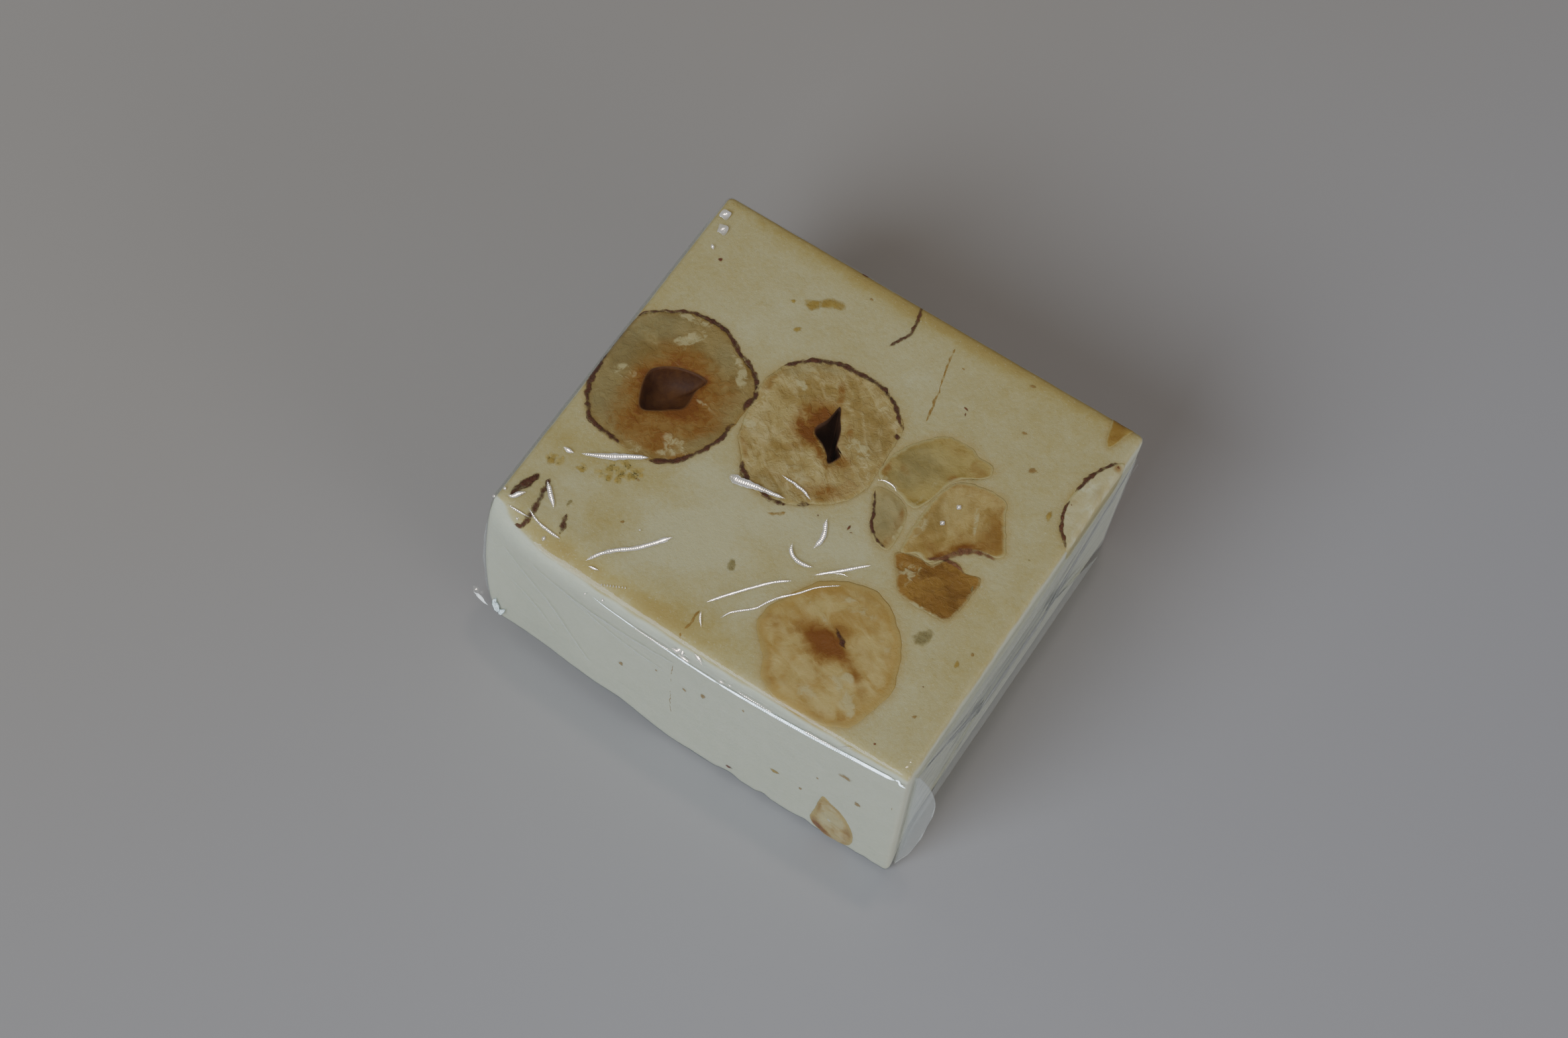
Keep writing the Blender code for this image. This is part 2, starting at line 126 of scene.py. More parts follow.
# Each cut kernel: outline and hollow (mm), soft marks as (x, y, half length, half width,
# turn in degrees, strength), depths (mm), the turn of its fibres (degrees), the shares
# of its other tones, and two display colours.
KERNELS = {
    "kernel_left": {
        "outline": [(-14.8, 7.1), (-13, 6.8), (-11.3, 5.8), (-9.3, 4.8), (-8.3, 3.3), (-8.1, 1.3),
                    (-8.3, -0.6), (-8.9, -3), (-10.3, -5.5), (-12.2, -6.7), (-15, -6.8), (-18.2, -6.2),
                    (-20, -4.2), (-20.8, -1.2), (-20.9, 2.4), (-20.3, 4.6), (-18.4, 6), (-16.9, 6.9)],
        "hollow": [(-12.4, 2.2), (-12.6, 0.8), (-12.5, -0.9), (-13.4, -1.8), (-15.2, -3), (-16.1, -2.2),
                   (-16.8, 0), (-16.2, 1.1), (-14.6, 2)],
        "toast": [(-10.4, 1, 2.2, 2.4, 0, 0.55), (-11.4, -1.9, 2.4, 1.8, 20, 0.62),
                  (-13.8, -4.9, 3.8, 1.7, 0, 0.8), (-15.2, 3.2, 2.6, 1.1, 8, 0.5),
                  (-17.6, -1.4, 0.9, 2.2, 0, 0.4), (-10.1, -5, 1, 0.5, 40, 0.5)],
        "grey": [(-18.8, 4.6, 2.6, 1.7, 35, 1), (-18.9, -2.4, 2.2, 3.4, 0, 0.55),
                 (-12.2, 5, 1.5, 0.9, -35, 0.8), (-9.6, -1.6, 1.1, 2.8, 0, 0.7),
                 (-17.6, -5.1, 2.4, 0.8, -20, 0.6), (-19.9, 1.5, 1, 2, 0, 0.5)],
        "pale": [(-15.6, 4.9, 1.6, 0.5, 52, 1), (-16.4, 6.5, 1.6, 0.4, 12, 0.7),
                 (-11, 5, 2.2, 0.4, -38, 0.75), (-10, 3.6, 1.4, 0.3, -40, 0.5),
                 (-10.9, -4.4, 1.6, 0.8, -20, 0.8), (-11.3, -5.3, 1, 0.4, 35, 0.8),
                 (-13.9, -6.3, 0.9, 0.5, 0, 1), (-18.4, -1, 1.2, 0.8, 0, 0.5),
                 (-19.9, 4.9, 0.7, 0.4, 60, 0.6), (-10.9, 0.1, 1.3, 0.25, -8, 0.6)],
        "depth": 5.6, "fibre": 40, "hollow_depth": 1.8, "darkness": 0.12, "rim": 0.35, "rim_width": 0.45,
        "halo": 0.95, "melt": 0, "cream": 0.25, "rough": 0.6, "flesh": (170, 146, 90),
        "deep": (148, 122, 66),
    },
    "kernel_middle": {
        "outline": [(-1.9, 9.95), (0.1, 9.95), (1.9, 9.1), (3.6, 7.7), (3.9, 5), (4.1, 2.6), (4, 1),
                    (3, -1), (1, -2.6), (-0.6, -3.6), (-3, -4.1), (-4.9, -3.6), (-6.2, -2), (-7.4, -0.4),
                    (-8.1, 2.4), (-8.4, 5.2), (-7.7, 7.2), (-6, 8.9), (-4, 9.8)],
        "hollow": [(-1.85, 6.35), (-1.2, 5.4), (-0.6, 4.5), (-0.1, 3.1), (0.6, 2.8), (0.5, 2),
                   (0.15, 1.45), (-0.4, 2.1), (-1.2, 2.7), (-2.1, 3.1), (-2.4, 3.7), (-2, 4.8)],
        "toast": [(-3.3, 3.7, 1.6, 2.6, -12, 0.72), (-2.5, 5.2, 0.9, 1.2, 0, 0.4),
                  (1.4, -0.6, 2.2, 1, 10, 0.25), (-1.4, -1.6, 1.6, 0.9, 0, 0.15),
                  (-1.6, 2.1, 2.6, 0.5, -28, 0.55), (0.1, 4.9, 0.8, 0.35, -60, 0.45),
                  (3, 0.6, 1.1, 0.8, 0, 0.45), (1.4, -1.1, 1.8, 0.9, 25, 0.5),
                  (-2.5, 7.7, 1.2, 0.35, -60, 0.55), (-8, 5, 0.5, 1.2, 0, 0.45),
                  (-6.8, -0.9, 1.7, 0.5, -50, 0.45), (-0.9, 8.9, 0.8, 0.25, -40, 0.3),
                  (4, 4.4, 0.25, 1.6, 0, 0.5), (1.2, 2.1, 0.9, 0.8, 0, 0.4)],
        "grey": [(-6.6, 7.6, 1.5, 0.9, 40, 0.6), (-2.2, -3, 2.8, 0.7, 0, 0.4),
                 (-4.5, 9, 1.5, 0.5, 10, 0.5), (2.5, 5, 1.2, 1.4, 0, 0.2)],
        "pale": [(-4.6, 2.3, 0.8, 0.35, 80, 0.8), (1.6, 3.8, 2, 0.9, -20, 0.45),
                 (-7.6, 0.8, 1.1, 0.45, 0, 1), (-1.5, -0.6, 2.6, 0.8, -20, 0.35),
                 (-5.6, 6.4, 1.2, 0.4, -30, 0.4)],
        "depth": 6.2, "fibre": -32, "hollow_depth": 3.4, "darkness": 1, "rim": 0.25, "rim_width": 0.4,
        "halo": 0.35, "melt": 0.45, "cream": 0.85, "rough": 0.85, "flesh": (198, 174, 112),
        "deep": (172, 142, 78),
    },
    "kernel_right_upper": {
        "outline": [(4.3, 2.8), (4.1, 4.6), (4.7, 6.4), (5.7, 7.8), (7, 9.1), (9.2, 9.4), (10.2, 9),
                    (11.6, 8.9), (12, 8.1), (11.4, 7.3), (10.7, 6.9), (9.8, 6), (9.3, 4.6), (8.9, 3),
                    (8.2, 1.9), (6.6, 2.3)],
        "toast": [(11, 7.8, 1.1, 1, 0, 0.5), (9.8, 5.9, 0.6, 0.5, 0, 0.9), (4.4, 3.8, 0.5, 0.9, 0, 0.6),
                  (5.6, 4.5, 0.9, 0.4, -20, 0.35), (8.3, 8.5, 1.6, 0.6, 0, 0.3)],
        "grey": [(6.6, 5.6, 2.6, 2, 20, 0.8), (6, 3.4, 1.6, 0.9, 0, 0.5)],
        "pale": [(5.4, 2.75, 1.5, 0.28, -8, 0.9), (8.1, 3.4, 0.5, 1.8, -10, 0.4),
                 (8.7, 4.4, 0.3, 1.6, 15, 0.3)],
        "depth": 3.6, "fibre": 20, "rim": 0.25, "rim_width": 0.5, "halo": 0, "melt": 0.8, "cream": 0.25,
        "rough": 0.4, "flesh": (190, 166, 98), "deep": (168, 140, 66),
    },
    "kernel_right_sliver": {
        "outline": [(4.6, 1.75), (5.6, 2.15), (6.9, 2), (8, 1.3), (8.5, -0.2), (8.6, -2.3), (7.9, -2.6),
                    (6.9, -2.25), (6, -1.1), (5.2, 0.4)],
        "toast": [(7.9, 0.4, 0.5, 1.4, 10, 0.4), (8.1, -1.9, 0.4, 0.6, 0, 0.4)],
        "grey": [(6.6, 0, 2.2, 2.4, 0, 1)],
        "pale": [(8.4, -0.9, 0.25, 1.6, 0, 0.6)],
        "depth": 3.2, "fibre": -50, "rim": 0.2, "rim_width": 0.4, "halo": 0, "melt": 0.55, "cream": 0.25,
        "rough": 0.35, "flesh": (200, 178, 120), "deep": (182, 156, 94),
    },
    "kernel_right_main": {
        "outline": [(9.1, 1.4), (9.2, 3.4), (9.5, 5), (10.3, 6.2), (11.7, 6.7), (13.2, 6.9), (14.4, 6.6),
                    (15, 5.4), (15.9, 4), (16.7, 2.6), (16.3, 1.9), (15, 1.6), (14, 0.9), (13.3, 0.1),
                    (12.6, -0.7), (11.8, -1.6), (10.6, -1.5), (9.6, -2.1), (9.2, -0.6)],
        "toast": [(15.4, 3, 1.5, 1.7, -50, 0.42), (14.7, 5.3, 1.6, 1.1, -50, 0.35),
                  (13.6, 1.1, 0.5, 1.7, -58, 0.75), (12.5, -0.5, 0.5, 0.8, -40, 0.8),
                  (9.9, 5.6, 0.8, 0.5, 30, 0.6), (11.2, -0.3, 1.4, 0.5, -20, 0.35),
                  (12.3, 6.3, 1.6, 0.4, 5, 0.4), (12.6, 2.2, 1.5, 0.6, -30, 0.3)],
        "grey": [(10.6, 3.2, 1.4, 2.6, 0, 0.3)],
        "pale": [(9.7, 0.5, 0.5, 2.4, 0, 0.3), (11.6, 3.6, 1.9, 0.5, -40, 0.4),
                 (12.9, 4.3, 0.25, 2, 25, 0.45), (11, 5.5, 1, 0.4, 0, 0.3)],
        "depth": 4.4, "fibre": -60, "rim": 0.25, "rim_width": 0.45, "halo": 0, "melt": 0.8, "cream": 0.45,
        "rough": 0.45, "flesh": (200, 172, 106), "deep": (176, 142, 74),
    },
    "kernel_right_lower": {
        "outline": [(13, -0.6), (14, -0.3), (14.9, -0.75), (16.3, -0.5), (16.4, -2.6), (16.25, -4.2),
                    (15.8, -5.3), (14.2, -5.45), (12.4, -5.5), (11.1, -5.1), (10.3, -4), (9.5, -3.1),
                    (9.2, -2.35), (10, -1.85), (11.2, -1.65), (12.2, -1.6)],
        "toast": [(15.2, -1.6, 1.6, 1.2, 0, 0.5), (10.4, -2.3, 1.2, 0.5, 10, 0.55),
                  (14.6, -4.4, 2, 0.7, 0, 0.4), (12.8, -1.9, 1.2, 0.4, 0, 0.5),
                  (9.8, -3, 0.6, 0.3, -40, 0.5)],
        "grey": [],
        "pale": [(11.1, -3.4, 1.3, 0.8, -30, 0.55), (11.2, -4.5, 0.5, 0.4, 0, 0.6),
                 (13.2, -5.5, 1.6, 0.25, 0, 0.8), (11.4, -2.5, 0.4, 0.3, 0, 0.6)],
        "depth": 4, "fibre": 10, "rim": 0.25, "rim_width": 0.4, "halo": 0, "melt": 0.55, "cream": 0.3,
        "rough": 0.7, "flesh": (166, 124, 56), "deep": (136, 94, 34),
    },
    "kernel_front": {
        "outline": [(9.2, -6.2), (11, -6.5), (12.7, -7.7), (14.1, -9.2), (15.1, -11.4), (15.6, -13.2),
                    (15.2, -14.8), (14.9, -16.1), (14.2, -17.3), (12.4, -18.1), (10, -18.4), (7.6, -18.1),
                    (6, -17.2), (5.2, -15.9), (4, -14.9), (3.2, -13.8), (3.2, -12.3), (3.9, -10.8),
                    (4.6, -9.4), (5.4, -8.1), (6.9, -7)],
        "toast": [(8.7, -12.3, 2.5, 1.4, -15, 0.65), (9.1, -12.1, 1.2, 0.9, -30, 0.55),
                  (11.4, -12.9, 1.6, 0.6, -25, 0.55), (13.2, -14.1, 1.4, 0.5, -35, 0.4),
                  (7.2, -12.9, 2, 1.2, 0, 0.35), (9, -14.3, 1.4, 1.4, 0, 0.35),
                  (12.6, -17.4, 2.4, 0.7, 20, 0.4), (6.4, -16.8, 1.8, 0.6, -45, 0.4),
                  (4, -13.4, 0.9, 1.8, 0, 0.35), (9.4, -10.6, 0.9, 0.5, 0, 0.4),
                  (11.5, -11.2, 1.4, 0.6, -30, 0.3)],
        "grey": [(9, -6.9, 3.4, 0.6, 0, 0.4)],
        "pale": [(12.3, -14.9, 1.6, 0.8, -45, 0.85), (13.4, -15.9, 0.9, 0.4, -45, 0.8),
                 (6.9, -10.4, 1.5, 0.35, -22, 0.5), (9.3, -8.3, 2.4, 0.8, 0, 0.35),
                 (12.9, -9.9, 0.9, 0.7, 0, 0.4), (9.8, -16.6, 3, 0.7, 8, 0.35),
                 (7.5, -15.6, 1.6, 0.3, -10, 0.3), (10.9, -14.2, 1.4, 0.6, 20, 0.4)],
        "depth": 5.4, "fibre": -18, "rim": 0.8, "rim_width": 0.85, "halo": 0, "melt": 0.4, "cream": 0.35,
        "rough": 0.3, "flesh": (204, 178, 112), "deep": (188, 152, 82),
    },
    "kernel_right_edge": {
        "outline": [(20.75, 15.3), (20.1, 14.9), (19.5, 14), (18.8, 12.5), (18.5, 10.5), (18.5, 9.4),
                    (18.9, 7.9), (19.6, 6.8), (20.4, 6.1), (20.75, 5.9), (20.8, 8), (20.8, 10.6),
                    (20.8, 13)],
        "toast": [(20.2, 11.6, 0.5, 1, 0, 0.45), (18.9, 9.8, 0.4, 0.4, 0, 0.4),
                  (20.3, 14.6, 0.4, 0.4, 0, 0.8), (20.2, 8.2, 0.4, 0.7, 0, 0.25)],
        "grey": [],
        "pale": [(19.8, 10.5, 1.6, 4.6, 0, 1)],
        "depth": 4.6, "fibre": 80, "rim": 0, "rim_width": 0.3, "halo": 0, "melt": 0.9, "cream": 0.3,
        "rough": 0.3, "flesh": (224, 216, 172), "deep": (214, 200, 150),
    },
    "kernel_back_corner": {
        "outline": [(17.6, 18.9), (17.8, 17.6), (18.2, 16.4), (18.7, 15.8), (19.2, 16.8), (19.5, 17.8),
                    (19.7, 18.9), (18.6, 19)],
        "toast": [(18.6, 17.4, 0.9, 1.8, 0, 0.4)],
        "grey": [],
        "pale": [],
        "depth": 1.6, "fibre": 70, "rim": 0, "rim_width": 0.3, "halo": 0, "melt": 0.6, "cream": 0.3,
        "rough": 0.4, "flesh": (190, 158, 82), "deep": (172, 138, 62),
    },
}

# The kernel low in the front wall: outline (x, z in mm) and its marks.
SIDE_KERNEL = {
    "outline": [(12.9, 2), (13.2, 5), (13.7, 8.3), (14.6, 7.9), (15.7, 7), (16.6, 5.4), (17.1, 3.6),
                (17, 1.6), (16.2, 0.7), (14.4, 0.6)],
    "toast": [(14.2, 1.3, 1.3, 0.55, -35, 1), (13.4, 2.2, 0.5, 1, 0, 0.7), (16.5, 3.2, 0.5, 2, -5, 0.45),
              (15.2, 3, 0.35, 0.9, 0, 0.3), (13.5, 6.2, 0.3, 1.8, 0, 0.45),
              (15.2, 7.3, 1.2, 0.3, -35, 0.4), (16.1, 1.2, 0.9, 0.5, 0, 0.35)],
    "grey": [],
    "pale": [(14.9, 4.9, 1.1, 2, 0, 1), (14.2, 3.6, 0.6, 1, 0, 1)],
    "depth": 2, "fibre": 80, "rim": 0.6, "rim_width": 0.45, "halo": 0, "melt": 0.4, "cream": 0.6,
    "rough": 0.5, "flesh": (206, 186, 128), "deep": (196, 164, 96),
}

# ---------------------------------------------------------------- skins, lines, crumbs

# Dark skin: route (mm) and widths (mm) at its start, middle and end.
SKINS = [
    ([(-20.6, 4), (-20.3, 4.7), (-19.3, 5.5), (-18.3, 6.1), (-17.3, 6.8), (-16, 7.1), (-14.4, 7.2),
      (-13, 6.8), (-11.8, 6.1), (-10.4, 5.5), (-9.5, 5), (-8.7, 4.2), (-8.2, 3.1), (-8.35, 2.2),
      (-8.2, 1.4)], (0.23, 0.49, 0.52)),
    ([(-8, 0.25), (-8.35, -0.3), (-8.4, -1.6), (-8.8, -2.9), (-9.5, -4.3), (-10.3, -5.5), (-11.3, -6.2),
      (-12.2, -6.75)], (0.42, 0.48, 0.52)),
    ([(-14.7, -6.8), (-16, -6.6), (-17.3, -6.5), (-18.4, -6.2), (-19.2, -5.4), (-19.9, -4.4),
      (-20.4, -3.1), (-20.6, -1.5), (-20.95, 0.2), (-21, 1.8), (-20.9, 3.2)], (0.52, 0.58, 0.34)),
    ([(-7.8, 7), (-7.2, 7.8), (-6.3, 8.6), (-5.2, 9.3), (-4, 9.8), (-2.4, 9.95), (-0.4, 10), (0.9, 9.6),
      (2.1, 8.9), (3.1, 8), (3.8, 7.5)], (0.5, 0.58, 0.36)),
    ([(3.4, 7), (3.6, 6.7), (3.8, 6.4)], (0.32, 0.49, 0.29)),
    ([(-5.9, -2.3), (-5.4, -3), (-4.6, -3.5), (-3.9, -3.75)], (0.38, 0.66, 0.5)),
    ([(-3.2, -3.9), (-2.2, -4.05), (-1.2, -3.95), (-0.6, -3.75)], (0.4, 0.66, 0.4)),
    ([(0.1, -3.3), (0.5, -2.9), (1.05, -2.55)], (0.43, 0.72, 0.43)),
    ([(4.75, 1.6), (5.1, 0.9), (5.6, -0.1), (6.1, -1.1), (6.7, -1.9), (7.4, -2.3), (8.1, -2.5),
      (8.5, -2.45)], (0.29, 0.41, 0.23)),
    ([(20.2, 15), (19.7, 14.4), (19.2, 13.5), (18.8, 12.5), (18.7, 11.4), (18.5, 10.6)],
     (0.38, 0.52, 0.38)),
    ([(18.55, 9.9), (18.6, 9), (18.9, 8), (19.4, 7.1), (20, 6.4), (20.7, 5.8)], (0.32, 0.35, 0.32)),
    ([(-1.5, 18.5), (-1, 17.6), (-0.8, 16.6), (-0.7, 15.6), (-1.1, 14.6), (-1.6, 13.6)],
     (0.43, 0.35, 0.38)),
    ([(-18.9, -12.7), (-19, -13.3), (-19.3, -14.1), (-19.6, -14.9), (-19.7, -15.8)], (0.6, 0.9, 0.55)),
    ([(-18, -12.5), (-17.8, -13.3), (-17.65, -14.4), (-17.45, -15.4), (-17.3, -16.2), (-17.35, -17.2),
      (-17.6, -17.9), (-18.1, -18.3)], (0.5, 0.78, 0.42)),
    ([(-14.95, -14.4), (-14.8, -15.1), (-14.5, -15.9), (-14.3, -16.5)], (0.35, 0.6, 0.32)),
    ([(8.75, -10.75), (9.3, -11.15), (9.9, -11.55), (10.5, -11.95)], (0.35, 0.62, 0.35)),
]

# Faint tan lines where syrup has crept: cracks in the nougat and drawn-out kernel rims.
SYRUP_LINES = [
    ([(3.1, 16.9), (3.4, 15.4), (3.8, 13.7), (4.2, 12.2), (4.6, 10.6), (4.9, 8.6)], (0.2, 0.4, 0.22)),
    ([(-1.25, -15.2), (-1.15, -16.4), (-1.35, -17.4), (-1.1, -18.6)], (0.22, 0.34, 0.3)),
    ([(0, -4), (-0.5, -4.6), (-1.1, -5.05), (-1.8, -5.4)], (0.34, 0.52, 0.2)),
    ([(-1.2, -20.6), (-1.5, -24), (-1.6, -28), (-1.5, -33)], (0.14, 0.16, 0.1)),
    ([(2.9, -7.9), (3.2, -8.6), (3.5, -9.2)], (0.95, 0.6, 0.2)),
]

# Soft brown seams where two bits of kernel meet.
SEAMS = [
    ([(11.4, -1.5), (12.4, -0.9), (12.9, -0.4), (13.3, 0.3), (13.9, 0.9), (14.6, 1.35), (15.4, 1.6),
      (16.4, 1.6)], (0.35, 0.75, 0.4)),
    ([(12.6, -0.8), (13.4, -0.6), (14.2, -0.6), (14.9, -0.9)], (0.4, 0.45, 0.2)),
]

# Where the cut face turns white at its front edge: places in X, and starts beyond the core.
FRONT_EDGE_X = (-20.8, -19.8, -19.0, -17.0, -14.0, -10.0, 3.0)
FRONT_EDGE_START = (-0.9, -0.5, 0.0, 0.35, 0.65, 0.9, 1.0)
# Soft tones of the cut face: tan where the film clings, white where it stands off. The tan marks along
# the front edge are painted shade where the top falls away.
TAN_MARKS = [
    (0, 18.4, 24, 1.7, 0, 1.25), (-20.6, 4, 0.9, 18, 0, 0.45), (-16.5, -8.6, 4.4, 1.9, 15, 0.75),
    (-9.5, -7.4, 3.4, 1.6, 10, 0.4), (-13, -12.2, 1.6, 3, 0, 0.35), (-11, -13.6, 2.2, 2.6, 0, 0.45),
    (-9, -17.4, 6.6, 1.1, 0, 0.95), (-2.2, -16.8, 3.4, 1.8, 0, 0.85), (-5.4, -15, 2.6, 1.2, 30, 0.55),
    (2.4, -16.8, 3, 2, 0, 0.45), (-15.6, -17, 3.2, 1.3, 0, 0.55), (-18.8, -14.8, 1.2, 1.8, 0, 0.35),
    (18.6, -2, 2.4, 14, 0, 0.3), (15.5, -18.2, 5, 1, 0, 0.45), (16, 13, 4, 5, 0, 0.2),
    (1.2, -8.6, 1.4, 2.4, -20, 0.25), (9, 14, 5, 3, 0, 0.15), (-17, 12, 3, 4, 0, 0.12),
]
WHITE_MARKS = [
    (-6.4, -6, 4.6, 2.4, -15, 0.75), (1.2, -5.4, 3.4, 2.6, 0, 0.8), (5.6, -4.2, 3, 2, 0, 0.55),
    (-6, -12.2, 4.6, 3.4, 35, 0.8), (-3.5, -10, 3.4, 1.6, 0, 0.6), (-15.8, -11.6, 1.6, 1.2, 0, 0.45),
    (-11.5, 9.2, 5.4, 2.4, 0, 0.45), (1.5, 12.4, 2.8, 3, 0, 0.3), (6.2, 1.2, 1.8, 4, 0, 0.4),
    (17.6, 7, 1.2, 5, 0, 0.25), (-8.6, -10.6, 3, 1.4, 0, 0.35), (16.2, -12, 1.2, 5, 0, 0.3),
    (-8.6, 1.2, 0.7, 3.6, 0, 0.3), (17.4, 0.6, 1.2, 1.6, 0, 0.35), (20.7, 16, 1, 3.6, 0, 0.7),
    (2, -13.2, 1.4, 3, -30, 0.45),
]

# Crumbs sunk in the surface: (x, y, half length, half width, turn, tone).
# Tones: 0 yellow, 1 olive grey, 2 tan, 3 dark red skin.
CRUMBS = [
    (-9, 13.4, 1.05, 0.62, 15, 0), (-7.7, 14.3, 1.3, 0.7, 25, 0), (-8.8, 10.6, 0.5, 0.3, 60, 0),
    (-10.6, 12.7, 0.3, 0.2, 0, 0), (-18.8, -11.2, 0.55, 0.4, 80, 0), (-16.4, -10.6, 0.55, 0.26, 0, 0),
    (18.6, -8, 0.26, 0.4, 0, 0), (17.9, 7.5, 0.3, 0.55, 20, 0), (19.2, -6.6, 0.16, 0.26, 30, 2),
    (-1.3, -10.9, 0.62, 0.46, -60, 1), (15.1, -7.5, 0.8, 0.98, -30, 1), (-15.35, -13.6, 0.18, 0.42, 0, 1),
    (7, 12.2, 0.3, 0.12, -20, 3), (7.2, 11.7, 0.26, 0.09, -60, 3), (-17.9, 12.6, 0.24, 0.18, 0, 3),
    (4.8, -2.6, 0.13, 0.4, 5, 3), (5.2, -2.9, 0.16, 0.07, 30, 3), (2.1, -3.1, 0.12, 0.1, 0, 3),
    (-6.9, 18.4, 0.42, 0.16, 0, 3), (19, 9.9, 0.16, 0.1, 0, 3), (18.9, 9.5, 0.12, 0.08, 0, 3),
    (20.35, 14.7, 0.2, 0.16, 0, 3), (16.8, -17.3, 0.13, 0.1, 0, 3), (17.4, -11.2, 0.1, 0.08, 0, 3),
    (-4, 7.8, 0.14, 0.18, 0, 3), (14.6, 10.4, 0.55, 0.3, 30, 2), (12.2, 13, 0.26, 0.16, 0, 2),
    (16.1, -1.6, 0.1, 0.42, 20, 1), (18.6, 3.2, 0.14, 0.11, 0, 1), (-10.8, -12.6, 0.22, 0.14, 20, 2),
    (10.5, 17.2, 0.3, 0.18, 10, 2), (4.8, 15.3, 0.16, 0.1, 0, 2), (-5.2, 16.6, 0.22, 0.12, 0, 2),
    (18.2, -13.8, 0.24, 0.15, 30, 2), (0.9, -12, 0.18, 0.12, 0, 2), (-11.9, -8.7, 0.26, 0.15, 0, 2),
]

# The tones of the crumbs, in that order: name, two colours and cover.
CRUMB_TONES = [
    ("yellow", (206, 176, 88), (186, 150, 62), 0.75),
    ("olive", (174, 160, 108), (158, 142, 90), 0.70),
    ("tan", (192, 158, 96), (166, 128, 70), 0.75),
    ("red_skin", (104, 44, 30), (140, 66, 44), 0.85),
]

# Clusters of fine yellow grains in the cut face: (x, y, half length, half width, turn, count).
GRAINS = [
    (-13.6, -9, 1.95, 1, 30, 60), (-18.5, -10.9, 0.8, 0.5, 30, 9), (-16.2, -10.2, 0.6, 0.3, 10, 6),
]

# Crumbs in the front wall: (x, z, half width, half height, turn, tone).
WALL_CRUMBS = [
    (4.55, 2.2, 0.42, 0.42, 0, 3), (16.9, 11, 0.36, 0.55, 20, 2), (20.3, 14.3, 0.3, 0.36, 0, 0),
    (9, 7.5, 0.55, 0.36, 20, 0), (5.5, 16, 0.16, 0.26, 0, 2), (1.6, 13.9, 0.3, 0.55, 0, 2),
    (15.4, 15, 0.7, 0.5, 0, 2), (-0.2, 12.8, 0.26, 0.36, 0, 2), (13, 11.5, 0.16, 0.2, 0, 2),
    (-6.5, 10, 0.3, 0.4, 0, 2), (11.6, 7.2, 0.2, 0.3, 0, 2), (-3, 13.2, 0.14, 0.2, 0, 2),
]

# ---------------------------------------------------------------- film

# Where the camera, the small lamp overhead and the window lamp stand, in metres.
EYE = np.array([0.0568, -0.1104, 0.2659])
LAMP = np.array([0.0186, 0.1064, 0.6916])
WINDOW = np.array([-0.1300, -0.5600, 0.4820])
# The camera's own X and Y directions, and the width of its sensor (mm).
CAMERA_RIGHT = np.array([0.8368, 0.5460, 0.0410])
CAMERA_UP = np.array([-0.5063, 0.7429, 0.4379])
SENSOR_WIDTH = 23.6
# The table reaches this far (m) to each side, with so many points along it.
TABLE_REACH = 0.75
TABLE_POINTS = 41

# A pleat's saw teeth have this length, and a shorter pleat than this lies flat (mm).
TOOTH = 0.18
FLAT_LENGTH = 2.2
# Corners round the lens of a strip, and round the thinner one of a pleat.
STRIP_CORNERS = 12
PLEAT_CORNERS = 10
# Least half height of a pleat and least height of the film over the table, in metres.
PLEAT_THICK = 0.000003
TABLE_GAP = 0.00002
# Creases past this line (mm) lie on the front edge and stand higher off the film.
EDGE_LINE = -18.2
